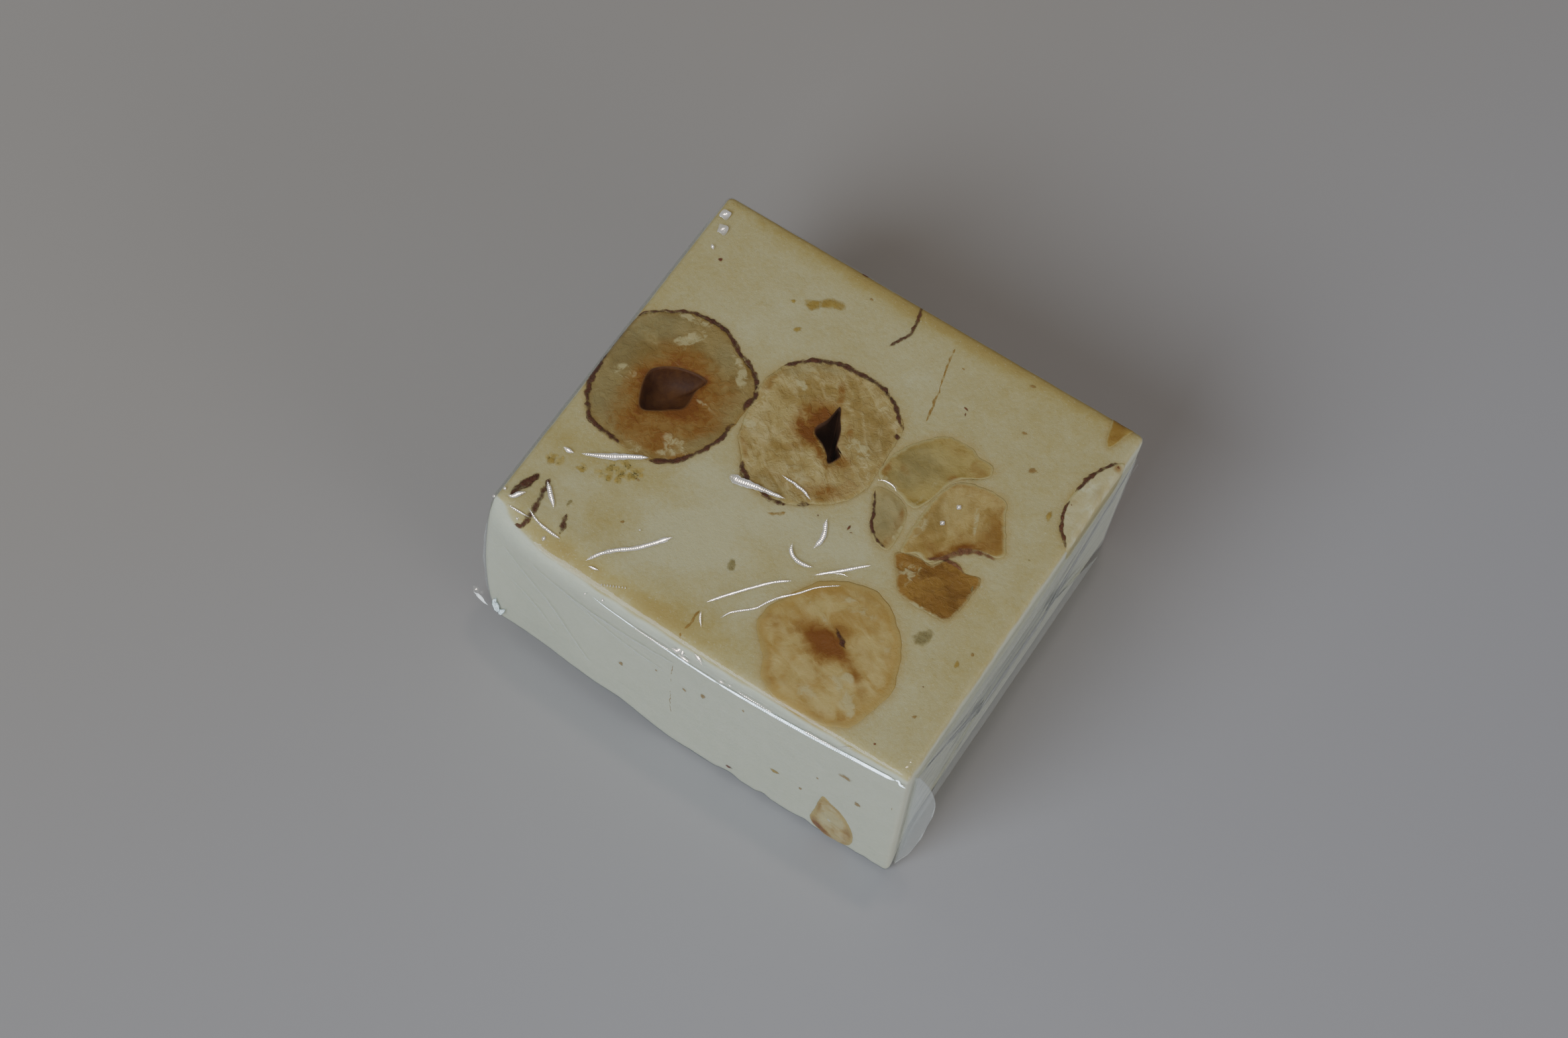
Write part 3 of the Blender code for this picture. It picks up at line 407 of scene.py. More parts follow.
# Creases on the cut face: route (mm), widths at start, middle and end (mm).
CREASES = [
    ([(-18.7, -9.75), (-18.1, -9.75), (-17.6, -9.65)], (0.28, 0.38, 0.25)),
    ([(-17.1, -9.4), (-16.2, -8.95), (-15, -8.3), (-13.8, -7.5), (-12.9, -6.95), (-12.3, -6.6)],
     (0.2, 0.6, 0.3)),
    ([(-5.9, -4.2), (-5, -4.15), (-3.8, -3.9), (-2.4, -3.65), (-0.9, -3.4)], (0.98, 0.53, 0.15)),
    ([(-2.4, -1.75), (-1.2, -1.8), (-0.1, -1.95), (0.9, -2.3)], (0.12, 0.22, 0.18)),
    ([(2.9, -2.9), (3.1, -3.5), (3.45, -4.2), (3.55, -5), (3.45, -5.95)], (0.2, 0.5, 0.33)),
    ([(1.75, -6.45), (2, -7), (2.5, -7.45), (3.2, -7.6), (3.9, -7.5), (4.4, -7.3)], (0.25, 0.35, 0.2)),
    ([(4.8, -7.9), (5.6, -7.1), (6.5, -6.25), (7.4, -5.3), (8.2, -4.5)], (0.15, 0.3, 0.18)),
    ([(-1.1, -14.8), (-0.4, -13.8), (0.5, -12.6), (1.3, -11.6), (2.4, -10.3), (3.6, -9.3)],
     (0.2, 0.24, 0.2)),
    ([(0.6, -15.3), (1, -14.5), (1.7, -13.8), (2.5, -13), (3, -12), (3.6, -11.1), (4.6, -10), (5.5, -8.8),
      (6.4, -8), (7.2, -7.4)], (0.15, 0.18, 0.08)),
    ([(6, -6.9), (6.7, -6.5), (7.2, -6.4)], (0.07, 0.12, 0.06)),
    ([(-11.3, -17), (-10.6, -15.9), (-9.7, -15), (-8.6, -14.1), (-7.6, -12.9), (-6.6, -11.5)],
     (0.25, 0.38, 0.38)),
    ([(-18, -13), (-17.5, -13.5), (-16.8, -14.1), (-16.1, -14.9)], (0.25, 0.5, 0.12)),
    ([(-19.9, -16), (-19.5, -15.8), (-19.2, -15.3), (-18.8, -14.8)], (0.38, 0.43, 0.35)),
    ([(-17.8, -15.9), (-16.8, -16.4), (-15.6, -16.6), (-14.1, -16.65)], (0.12, 0.22, 0.25)),
    ([(-19.6, -17), (-18.6, -16.8), (-17.3, -16.6)], (0.07, 0.2, 0.12)),
    ([(-1, -15.6), (-0.7, -16.1), (-0.2, -16.6)], (0.2, 0.18, 0.1)),
    ([(-10.9, -17.3), (-10.4, -17.2), (-9.9, -17.1)], (0.25, 0.22, 0.12)),
    ([(-15.5, -17.4), (-15.3, -17.4), (-15.1, -17.35)], (0.38, 0.45, 0.38)),
    ([(-20.5, -15.4), (-20.35, -15.5), (-20.2, -15.6)], (0.18, 0.28, 0.15)),
    ([(-20.85, -16.7), (-20.7, -16.8), (-20.6, -16.85)], (0.22, 0.28, 0.18)),
    ([(-18.3, -17.5), (-18.1, -17.7), (-18, -17.8)], (0.12, 0.18, 0.1)),
    ([(-1.6, -19), (-1.1, -18.7), (-0.6, -18.5), (-0.3, -19)], (0.25, 0.43, 0.25)),
    ([(-0.9, -19.1), (-0.2, -19.2), (0.4, -19.3)], (0.22, 0.28, 0.12)),
    ([(0.4, -18.4), (1, -18.5), (1.5, -18.6)], (0.3, 0.45, 0.2)),
    ([(3.1, -19.1), (3.4, -19.15), (3.8, -19.2)], (0.22, 0.33, 0.15)),
    ([(4, -18.8), (4.25, -18.9), (4.4, -19.1)], (0.1, 0.15, 0.07)),
    ([(5, -19.1), (5.6, -19.15), (6.6, -19.15), (8.6, -19.1)], (0.15, 0.1, 0.04)),
    ([(-5.4, -19.3), (-4, -19.35), (-2.4, -19.35), (-1.4, -19.3)], (0.07, 0.12, 0.1)),
    ([(11.1, -19), (12.3, -18.85), (14, -18.65), (15.8, -18.35)], (0.28, 0.12, 0.04)),
    ([(-20.3, 16.9), (-20, 16.5), (-19.6, 16.1)], (0.75, 1.19, 0.62)),
    ([(-19.9, 15.4), (-19.3, 15.1), (-18.9, 14.7)], (0.5, 1.06, 0.5)),
    ([(-19.3, 13.4), (-19.1, 13.2), (-18.9, 13)], (0.2, 0.33, 0.15)),
    ([(-9.3, -12.5), (-9.2, -12.5), (-9.1, -12.45)], (0.1, 0.15, 0.07)),
    ([(-10.1, -18.8), (-10, -18.85), (-9.9, -18.9)], (0.12, 0.22, 0.12)),
    ([(-8.5, -18.5), (-8.4, -18.55), (-8.3, -18.6)], (0.12, 0.22, 0.1)),
    ([(4.4, 2.3), (5, 2.6), (5.8, 2.6), (6.4, 2.3)], (0.07, 0.15, 0.06)),
    ([(11.1, 4.1), (11.35, 4.05), (11.6, 4)], (0.3, 0.5, 0.3)),
    ([(10.7, 2.05), (10.95, 2), (11.2, 1.95)], (0.26, 0.46, 0.26)),
]
# A row of fine puckers by the front edge: first and last place (mm), and their count.
PUCKERS = ((-9.1, -17.95), (-7.3, -17.15), 9)

# Lines on the front wall: route (x, z in mm) and widths (mm).
WALL_LINES = [
    ([(-9.4, 20.3), (-8, 19.9), (-6.5, 19.7), (-4, 19.4), (-2, 19.2), (0, 19), (3.2, 18.9)],
     (0.05, 0.11, 0.16)),
    ([(3, 18.9), (5.5, 19), (8, 19.2), (12, 19.6), (16, 20.1), (19.7, 20.5)], (0.16, 0.3, 0.28)),
    ([(19.6, 20.5), (20.2, 20.65), (20.7, 20.8)], (0.2, 0.2, 0.06)),
]
# Soft pale lines in the film: milky folds, drawn as pale diffuse lines that also paint the folds' sheen,
# on the front wall (x, z in mm) and on the right wall (y, z).
FRONT_FOLDS = [
    ([(-18.6, 17.4), (-16, 15.6), (-13.5, 13), (-11.4, 9.4), (-9.6, 6.4)], (0.15, 0.45, 0.2)),
    ([(-18.8, 12.6), (-16.6, 11.8), (-14.6, 10), (-13, 7.6)], (0.1, 0.3, 0.12)),
    ([(-12, 17.6), (-9, 16), (-5.5, 14.9), (-2, 14.4)], (0.1, 0.35, 0.12)),
    ([(-15.6, 18.6), (-11, 17.2), (-6, 16.8), (-1, 17.2)], (0.2, 0.6, 0.25)),
]
RIGHT_FOLDS = [
    ([(17.4, 19.2), (10, 19.4), (0, 19), (-10, 19.1), (-17.6, 19.4)], (0.3, 0.68, 0.45)),
    ([(16.6, 15.4), (9, 16.2), (0, 15.4), (-9, 16.4), (-17.6, 18)], (0.22, 0.6, 0.38)),
    ([(15, 11.6), (7, 12.6), (-1, 11.8), (-9, 13.4), (-17.4, 16.2)], (0.18, 0.54, 0.33)),
    ([(12, 7.4), (4, 8.2), (-5, 8.6), (-13, 11), (-17.6, 13.6)], (0.15, 0.45, 0.24)),
]
# Tilted film that gleams low at the left end of the front wall: route (x, z in mm), widths (mm).
CORNER_GLEAMS = [
    ([(-20.5, 2), (-20.2, 3.4), (-19.9, 4.8), (-19.6, 5.9)], (0.5, 0.7, 0.15)),
    ([(-19.9, 1.7), (-19.5, 2.6), (-19.1, 3.6), (-18.8, 4.4)], (0.55, 0.45, 0.1)),
]
# Crumpled foot of the left ear: route (x, z in mm), widths (mm) and the lamp that it mirrors.
KNOB_GLEAMS = [
    ([(-23.6, 1.4), (-23.1, 1.7), (-22.6, 1.6)], (0.30, 0.55, 0.25), LAMP),
    ([(-23.4, 0.7), (-22.8, 0.9), (-22.1, 0.8), (-21.5, 0.9)], (0.20, 0.30, 0.12), WINDOW),
    ([(-22.5, 2.2), (-22.2, 2.6), (-21.9, 2.7)], (0.15, 0.30, 0.12), LAMP),
]

# Where that foot leaves the corner, in metres, and how much it leans back on its way out.
FOOT_X, FOOT_Y, FOOT_SLOPE = -0.0222, -0.0176, 0.3

# Thickness of the folded film and of the ears, in metres, and the points of their grids.
FOLD_THICK, EAR_THICK = 0.00003, 0.00004
FOLD_GRID, EAR_GRID = (40, 70), (90, 18)
# Ears of film off the front corners: side, and reach (mm) at each height (mm).
EARS = [
    ("right", 1, (0.8, 3, 7, 11, 14, 17, 19.2, 20.4), (0, 0.9, 1.5, 1.85, 2.05, 1.9, 1, 0)),
    ("left", -1, (0.2, 1.6, 5, 11, 15, 18), (1.3, 1.35, 1.1, 0.64, 0.3, 0)),
]
# Folded ends: front tuck, back tuck, top flap and base flap on an end wall, as (y, z)
# corners in mm, and how far each stands off.
END_FOLDS = [
    ([(-17.2, 2), (-17.2, 19.6), (-5, 10.6), (-5, 10.2)], 0.1),
    ([(17.2, 2), (17.2, 19.6), (5, 10.6), (5, 10.2)], 0.1),
    ([(-16.4, 20.1), (16.4, 20.1), (4.4, 8.4), (-4.4, 8.4)], 0.2),
    ([(-16.4, 1.1), (16.4, 1.1), (5.6, 12), (-5.6, 12)], 0.34),
]

# ---------------------------------------------------------------- shapes

NO_TRIANGLES = np.zeros((0, 3), dtype=int)
NO_FIELDS = {}


def ramp(value, start, end):
    """Smooth step of an array: 0 at start, 1 at end, level outside."""
    t = np.clip((value - start) / (end - start), 0.0, 1.0)
    return t * t * (3.0 - 2.0 * t)


def ripple(points, length, seed):
    """Smooth uneven field from -1 to 1: a sum of sine waves in seeded directions."""
    waves = 14
    random = np.random.default_rng(seed)
    directions = random.normal(size=(waves, 3))
    directions /= np.linalg.norm(directions, axis=1, keepdims=True)
    lengths = length * random.uniform(0.6, 1.8, waves)
    phases = random.uniform(0.0, 2.0 * math.pi, waves)
    total = np.zeros(points.shape[:-1])
    for direction, wave, phase in zip(directions, lengths, phases):
        total += np.sin(points @ direction * (2.0 * math.pi / wave) + phase)
    return total / math.sqrt(waves) / 1.6


def marks(x, y, items):
    """Sum of soft ellipses: each falls as a Gaussian of its turned, scaled distance."""
    total = np.zeros(np.shape(x))
    for centre_x, centre_y, half_x, half_y, turn, strength in items:
        angle = math.radians(turn)
        across = (x - centre_x) * math.cos(angle) + (y - centre_y) * math.sin(angle)
        along = (y - centre_y) * math.cos(angle) - (x - centre_x) * math.sin(angle)
        total += strength * np.exp(-((across / half_x) ** 2 + (along / half_y) ** 2) ** 1.5)
    return total


def unit(vectors):
    """Vectors scaled to a length of one."""
    return vectors / np.maximum(np.linalg.norm(vectors, axis=-1, keepdims=True), 1e-12)


def turned(x, y, along, aside, degrees):
    """Place at a distance along and aside of an axis through x, y turned by an angle."""
    angle = math.radians(degrees)
    return (x + along * math.cos(angle) - aside * math.sin(angle),
            y + along * math.sin(angle) + aside * math.cos(angle))


def spans(a, b, c, d, per_span):
    """Catmull-Rom curve from each b to its c, sampled evenly."""
    t = (np.arange(per_span) / per_span)[None, :, None]
    return b + 0.5 * ((c - a) * t + (2 * a - 5 * b + 4 * c - d) * t ** 2
                      + (3 * b - a - 3 * c + d) * t ** 3)


def closed_curve(points):
    """Closed Catmull-Rom curve through the points."""
    points = np.array(points, dtype=float)
    corners = (np.roll(points, shift, axis=0)[:, None, :] for shift in (1, 0, -1, -2))
    return spans(*corners, 12).reshape(-1, 2)


def open_curve(points, count):
    """Open Catmull-Rom curve through the points, resampled to equal steps."""
    points = np.array(points, dtype=float)
    ends = np.vstack([2 * points[0] - points[1], points, 2 * points[-1] - points[-2]])
    corners = (ends[i:len(ends) - 3 + i, None, :] for i in range(4))
    curve = np.vstack([spans(*corners, 16).reshape(-1, 2), points[-1]])
    steps = np.concatenate([[0.0], np.cumsum(np.linalg.norm(np.diff(curve, axis=0), axis=1))])
    wanted = np.linspace(0.0, steps[-1], count)
    return np.stack([np.interp(wanted, steps, curve[:, axis]) for axis in range(2)], axis=1)


def reach_by_angle(outline, centre, angles):
    """Distance from a centre to a closed outline at each angle."""
    curve = closed_curve(outline) - centre
    theta = np.arctan2(curve[:, 1], curve[:, 0])
    order = np.argsort(theta)
    theta, radius = theta[order], np.linalg.norm(curve, axis=1)[order]
    theta = np.concatenate([theta - 2 * math.pi, theta, theta + 2 * math.pi])
    return np.interp(angles, theta, np.tile(radius, 3))


def kernel_centre(kernel):
    """Centre of a kernel's rings: the middle of its hollow, or of its outline."""
    return closed_curve(kernel.get("hollow", kernel["outline"])).mean(axis=0)


def beyond_core(x, y):
    """How far a place lies beyond the block's core, along X, along Y and straight."""
    over_x = np.sign(x) * np.clip(np.abs(x) - CORE_X, 0.0, None)
    over_y = np.sign(y) * np.clip(np.abs(y) - CORE_Y, 0.0, None)
    return over_x, over_y, np.maximum(np.hypot(over_x, over_y), 1e-9)


def sharpened(x, y, z):
    """Pull the evenly rounded edges out towards square: most at the foot and the corners.

    The offset beyond the core keeps its direction; its length follows a power
    of itself, and a superellipse over the upright corners.
    """
    over_x, over_y, over = beyond_core(x, y)
    power = np.where(z < HEIGHT / 2, FOOT_POWER, EDGE_POWER)
    length = np.minimum(over / EDGE_RADIUS, 1.0) ** power * np.maximum(over, EDGE_RADIUS)
    square = np.abs(over_x / over) ** CORNER_POWER + np.abs(over_y / over) ** CORNER_POWER
    scale = length / over * np.maximum(square, 1e-12) ** (-1.0 / CORNER_POWER)
    scale = np.where(over > 2e-9, scale, 0.0)
    return x + over_x * (scale - 1.0), y + over_y * (scale - 1.0)


def settled(points):
    """Move points of the upright block to where the soft block has settled.

    The right wall leans in towards the base, the left wall bulges, the front
    wall bows out and its foot spreads, its left top corner is cut back, its top
    edge is melted round, most on the left, and its lower edge is lifted over
    the left half and torn a little all along.
    """
    x, y, z = points[..., 0], points[..., 1], points[..., 2].copy()
    x, y = sharpened(x, y, z)
    below = 1.0 - z / HEIGHT
    to_right = ramp(x, 0.0, SHELL_X)
    to_left = ramp(-x, 0.0, SHELL_X)
    front = ramp(-y, SHELL_Y - FRONT_BAND, SHELL_Y)
    bow = FRONT_BOW * (1.0 - ((x - 0.002) / 0.024) ** 2) * (1.0 - 0.6 * below)
    cut = np.clip((CORNER_CUT_X - x) / CORNER_CUT_REACH, 0.0, 1.2)
    cut = CORNER_CUT * cut ** 2 * (1.0 - below) ** 2
    melt = EDGE_MELT * (0.20 + 0.80 * ramp(-x, -0.010, 0.012))
    near = np.clip(1.0 - ((y + SHELL_Y) + (HEIGHT - z)) / EDGE_MELT_REACH, 0.0, 1.0) ** 2
    near_base = 1.0 - ramp(z, 0.0, LIFT_REACH_Z)
    on_left = 1.0 - ramp(x, LIFT_FULL_X, LIFT_END_X)
    foot = FOOT_LEFT + (FOOT_RIGHT - FOOT_LEFT) * ramp(x, -0.018, -0.009)
    torn = sum(rise * np.exp(-((x / MM - place) / half) ** 2) for place, half, rise in TORN_EDGE)
    torn = torn + 0.10 * np.sin(x / MM * 2.9) * np.sin(x / MM * 1.3 + 1.0)
    y = y - bow * front + cut * front ** 3 - foot * below * front + melt * near * 0.5
    z = z - melt * near + EDGE_LIFT * front * near_base * on_left
    z = z + torn.clip(0.0, None) * MM * front ** 2 * (1.0 - ramp(z, 0.0, TORN_REACH_Z))
    bulge = LEFT_BULGE * np.sin(math.pi * np.clip(below * 1.05, 0.0, 1.0)) ** 0.7
    x = x - LEAN_RIGHT * below * to_right * (1.0 - 0.75 * front) + LEAN_LEFT * below * to_left
    x = x - bulge * to_left
    return np.stack([x, y, z], axis=-1)


def pushed(points, distance):
    """Block points moved out of the core box by a distance (mm), and settled."""
    away = unit(points - np.clip(points, CORE_LOW, CORE_HIGH))
    return settled(points + away * (distance * MM)[:, None])


def edge_lines(low, high, radius, step):
    """Grid positions between two walls, closer together in the rounded edges."""
    inner = np.linspace(low + radius, high - radius, round((high - low - 2 * radius) / step) + 1)
    turn = np.tan(np.linspace(0.0, math.pi / 4, ROUND_STEPS + 1))[1:] * radius
    return np.concatenate([(low + radius - turn)[::-1], inner, high - radius + turn])


def block_surface(growth, step):
    """Rounded block as points and quads, grown by a distance, before it settles.

    The surface points of a box lattice are pulled back to a core box and pushed
    out by the edge radius. Neighbouring walls share their edge points.
    """
    radius = EDGE_RADIUS + growth
    low = np.array([-SHELL_X - growth, -SHELL_Y - growth, AIR * 2 - growth])
    high = np.array([SHELL_X + growth, SHELL_Y + growth, CUT_Z + growth])
    lines = [edge_lines(*ends, radius, size)
             for *ends, size in zip(low, high, (step, step, WALL_STEP))]
    shape = [len(line) for line in lines]
    inside = np.zeros(shape, dtype=bool)
    inside[1:-1, 1:-1, 1:-1] = True
    index = np.full(shape, -1)
    index[~inside] = np.arange((~inside).sum())
    lattice = np.stack(np.meshgrid(*lines, indexing="ij"), axis=-1)[~inside]
    core = np.clip(lattice, low + radius, high - radius)
    points = core + unit(lattice - core) * radius
    quads = []
    for axis in range(3):
        for side in (0, -1):
            wall = np.take(index, side, axis=axis)
            if (side == 0) == (axis != 1):
                wall = wall.T
            quads.append(quads_of(wall))
    return points, np.vstack(quads)


def quads_of(index):
    """Quads between neighbouring rows and columns of an index grid."""
    return np.stack([index[:-1, :-1], index[1:, :-1], index[1:, 1:], index[:-1, 1:]],
                    axis=-1).reshape(-1, 4)


def outward(points, quads, triangles):
    """Turn the faces round if the closed surface's signed volume is negative."""
    halves = np.vstack([quads[:, [0, 1, 2]], quads[:, [0, 2, 3]], triangles])
    corners = points[halves]
    volume = np.einsum("ij,ij->i", corners[:, 0], np.cross(corners[:, 1], corners[:, 2])).sum()
    if volume < 0:
        return quads[:, ::-1], triangles[:, ::-1]
    return quads, triangles


def ring_solid(rows, fields):
    """Closed surface from rings of points: each ring joins the next, and the poles close.

    The first and last rings end in a point at their mean. fields holds the values
    on the rings and the pair of values at those two points.
    """
    ring_count, ring = rows.shape[:2]
    index = np.arange(ring_count * ring).reshape(ring_count, ring)
    quads = quads_of(np.hstack([index, index[:, :1]]))
    points = np.vstack([rows.reshape(-1, 3), rows[0].mean(axis=0), rows[-1].mean(axis=0)])
    first, last = (np.full(ring, ring_count * ring + pole) for pole in (0, 1))
    triangles = np.vstack([
        np.stack([first, index[0], np.roll(index[0], -1)], axis=1),
        np.stack([last, np.roll(index[-1], -1), index[-1]], axis=1)])
    fields = {name: np.concatenate([values.ravel(), poles])
              for name, (values, poles) in fields.items()}
    return points, *outward(points, quads, triangles), fields


def lens_rows(centre, across, lift, half_width, half_height):
    """Lens-shaped tube along a route: rings of an ellipse that taper with the widths."""
    angles = np.linspace(0.0, 2.0 * math.pi, PLEAT_CORNERS, endpoint=False)
    side = half_width[:, None, None] * np.cos(angles)[None, :, None] * across[:, None, :]
    rise = half_height[:, None, None] * np.sin(angles)[None, :, None] * lift[:, None, :]
    return centre[:, None, :] + side + rise


def new_piece(name, points, quads, triangles=NO_TRIANGLES, fields=NO_FIELDS):
    """Make a smooth mesh object at the origin from arrays, with float fields on its points."""
    mesh = bpy.data.meshes.new(name)
    mesh.vertices.add(len(points))
    mesh.vertices.foreach_set("co", np.ascontiguousarray(points, dtype=np.float32).ravel())
    corners = np.concatenate([quads.ravel(), triangles.ravel()]).astype(np.int32)
    mesh.loops.add(len(corners))
    mesh.loops.foreach_set("vertex_index", corners)
    sizes = np.concatenate([np.full(len(quads), 4), np.full(len(triangles), 3)])
    starts = np.concatenate([[0], np.cumsum(sizes)[:-1]]).astype(np.int32)
    mesh.polygons.add(len(sizes))
    mesh.polygons.foreach_set("loop_start", starts)
    mesh.update(calc_edges=True)
    mesh.validate()
    mesh.shade_smooth()
    for field, values in fields.items():
        layer = mesh.attributes.new(field, "FLOAT", "POINT")
        layer.data.foreach_set("value", np.ascontiguousarray(values, dtype=np.float32))
    obj = bpy.data.objects.new(name, mesh)
    bpy.context.scene.collection.objects.link(obj)
    return obj


def sheet_surface(grid, thick):
    """Closed thin sheet from a grid of points: two layers offset along the normals."""
    normal = unit(np.cross(np.gradient(grid, axis=0), np.gradient(grid, axis=1)))
    points = np.concatenate([(grid + normal * thick / 2).reshape(-1, 3),
                             (grid - normal * thick / 2).reshape(-1, 3)])
    rows, columns = grid.shape[:2]
    upper = np.arange(rows * columns).reshape(rows, columns)
    lower = upper + rows * columns
    rim = np.concatenate([upper[0, :-1], upper[:-1, -1], upper[-1, :0:-1], upper[:0:-1, 0]])
    after = np.roll(rim, -1)
    walls = np.stack([rim, rim + rows * columns, after + rows * columns, after], axis=1)
    quads = np.vstack([quads_of(upper), quads_of(lower)[:, ::-1], walls])
    return points, *outward(points, quads, NO_TRIANGLES), NO_FIELDS


def four_corner_grid(corners, rows, columns):
    """Grid of places between four corners, straight along each side."""
    a, b, c, d = (np.array(corner, dtype=float) for corner in corners)
    u = np.linspace(0.0, 1.0, rows)[:, None, None]
    v = np.linspace(0.0, 1.0, columns)[None, :, None]
    return a * (1 - u) * (1 - v) + b * (1 - u) * v + c * u * v + d * u * (1 - v)


def join_parts(parts):
    """Stack several (points, quads, triangles, fields) into one set of arrays."""
    points, quads, triangles, fields = zip(*parts)
    offsets = np.cumsum([0] + [len(part) for part in points[:-1]])
    quads, triangles = (np.vstack([part + offset for part, offset in zip(faces, offsets)])
                        for faces in (quads, triangles))
    fields = {name: np.concatenate([part[name] for part in fields]) for name in fields[0]}
    return np.vstack(points), quads, triangles, fields


# ---------------------------------------------------------------- finishes


class Wire:
    """A shader value; an expression on it adds one Math node for each sign."""

    def __init__(self, finish, socket):
        self.finish = finish
        self.socket = socket

    def math(self, operation, first, second):
        return self.finish.node("ShaderNodeMath", {"operation": operation}, {0: first, 1: second})

    def __add__(self, other):
        return self.math("ADD", self, other)

    __radd__ = __add__

    def __mul__(self, other):
        return self.math("MULTIPLY", self, other)

    def __sub__(self, other):
        return self.math("SUBTRACT", self, other)

    def __rsub__(self, other):
        return self.math("SUBTRACT", other, self)

    def at_most(self, most):
        return self.math("MINIMUM", self, most)

    def clipped(self):
        """The value held between 0 and 1."""
        return self.math("MINIMUM", self.math("MAXIMUM", self, 0.0), 1.0)


class Finish:
    """A material under construction: its nodes are added by short calls."""

    def __init__(self, name):
        self.material = bpy.data.materials.new(name)
        self.material.use_nodes = True
        self.tree = self.material.node_tree
        self.tree.nodes.clear()
        place = self.node("ShaderNodeTexCoord", {}, {}, "Object")
        self.place = self.node("ShaderNodeVectorMath", {"operation": "SCALE"},
                               {0: place, "Scale": 1.0 / MM})

    def node(self, kind, settings, inputs, output=0):
        """Add a node, apply its settings, then set or link its sockets."""
        node = self.tree.nodes.new(kind)
        for key, value in settings.items():
            setattr(node, key, value)
        for key, value in inputs.items():
            if isinstance(value, Wire):
                self.tree.links.new(value.socket, node.inputs[key])
            elif node.inputs[key].type == "RGBA":
                node.inputs[key].default_value = (*value, 1.0)
            else:
                node.inputs[key].default_value = value
        return Wire(self, node.outputs[output]) if node.outputs else None

    def field(self, name):
        """A float field stored on the piece's points."""
        return self.node("ShaderNodeAttribute", {"attribute_name": name}, {}, "Fac")

    def noise(self, per_mm, detail=3.0, roughness=0.55, vector=None, warp=0.0):
        """Noise from 0 to 1 with so many cells to a millimetre."""
        vector = self.place if vector is None else vector
        return self.node("ShaderNodeTexNoise", {},
                         {"Vector": vector, "Scale": per_mm, "Detail": detail,
                          "Roughness": roughness, "Distortion": warp}, "Fac")

    def stretched(self, turn, along, across):
        """Place turned about Z by an angle in degrees, then scaled along and across."""
        return self.node("ShaderNodeMapping", {"vector_type": "TEXTURE"},
                         {"Vector": self.place, "Rotation": (0.0, 0.0, math.radians(turn)),
                          "Scale": (along, across, 1.0)})

    def along(self, direction):
        """Distance in millimetres along a direction."""
        return self.node("ShaderNodeVectorMath", {"operation": "DOT_PRODUCT"},
                         {0: self.place, 1: direction}, "Value")

    def smooth(self, value, low, high):
        """Smooth step of a value between two levels."""
        return self.node("ShaderNodeMapRange", {"interpolation_type": "SMOOTHSTEP"},
                         {"Value": value, "From Min": low, "From Max": high}, "Result")

    def mix(self, factor, first, second):
        """Blend of two colours."""
        return self.node("ShaderNodeMix", {"data_type": "RGBA"}, {0: factor, 6: first, 7: second}, 2)

    def height(self, value, distance):
        """Bump from a height value in 0 to 1 over a distance in metres."""
        return self.node("ShaderNodeBump", {}, {"Height": value, "Distance": distance, "Strength": 1.0})

    def surface(self, base, roughness, **more):
        """A Principled shader; further sockets are named with _ for each blank."""
        inputs = {name.replace("_", " "): value for name, value in more.items()}
        return self.node("ShaderNodeBsdfPrincipled", {},
                         {"Base Color": base, "Roughness": roughness, **inputs})

    def done(self, shader):
        """Send a shader to the output and return the material."""
        self.node("ShaderNodeOutputMaterial", {}, {"Surface": shader})
        return self.material

    def see_through(self, share, color, shine):
        """Clear film that shows a share of its shine."""
        clear = self.node("ShaderNodeBsdfTransparent", {}, {"Color": color})
        return self.done(self.node("ShaderNodeMixShader", {}, {0: share, 1: clear, 2: shine}))

    def grazing(self):
        """Share of light that film mirrors; it rises to grazing angles."""
        return self.node("ShaderNodeFresnel", {}, {"IOR": 1.45})


def paint(red, green, blue):
    """Scene colour of a display colour given from 0 to 255."""
    return tuple((value / 255.0) ** 2.2 for value in (red, green, blue))


def nougat_finish(look):
    """Beaten nougat: chalky white where it stands off the film, translucent tan where it clings, and
    painted shade in tan along the front edge where the top falls away.
    """
    finish = Finish("beaten_nougat")
    clouds = finish.noise(0.16, 4.0, 0.6)
    patches = finish.noise(0.55, 4.0, 0.6, warp=0.6)
    fine = finish.noise(2.6, 5.0, 0.65)
    grain = finish.noise(9.0, 3.0, 0.6)
    # The cling tone also carries painted shade: the tan marks along the front edge stand for shade where
    # the top falls away.
    cling_and_edge_shade = finish.field("cling_and_edge_shade")
    tone = (cling_and_edge_shade + (patches - 0.5) * 0.9 + (fine - 0.5) * 0.75 + (clouds - 0.5) * 0.5).clipped()
    syrup = finish.field("syrup")
    base = finish.mix(tone, tuple(look.white), tuple(look.tan))
    deep = finish.smooth(cling_and_edge_shade + (patches - 0.5) * 0.6, 0.75, 1.25)
    base = finish.mix(deep * 0.6, base, tuple(look.deep_tan))
    base = finish.mix((syrup + (fine - 0.5) * 0.5).clipped() * 0.55, base, paint(196, 160, 88))
    specks = finish.smooth(finish.noise(3.4, 2.0, 0.5), 0.70, 0.78)
    base = finish.mix(specks * 0.35, base, paint(190, 156, 88))
    pores = finish.smooth(finish.noise(5.5, 2.0, 0.5), 0.63, 0.72)
    base = finish.mix(pores * 0.30, base, paint(236, 230, 200))
    wall = finish.field("wall")
    chalk = finish.mix(fine * 0.55 + patches * 0.45, paint(211, 212, 188), paint(238, 236, 214))
    base = finish.mix(wall, base, chalk)
    normal = finish.height(fine * 0.6 + grain * 0.25 + patches * 0.6, 0.00010)
    return finish.done(finish.surface(
        base, 0.46 + fine * 0.2, Normal=normal, Subsurface_Weight=0.16,
        Subsurface_Radius=(1.0, 0.85, 0.6), Subsurface_Scale=0.0008, IOR=1.45))


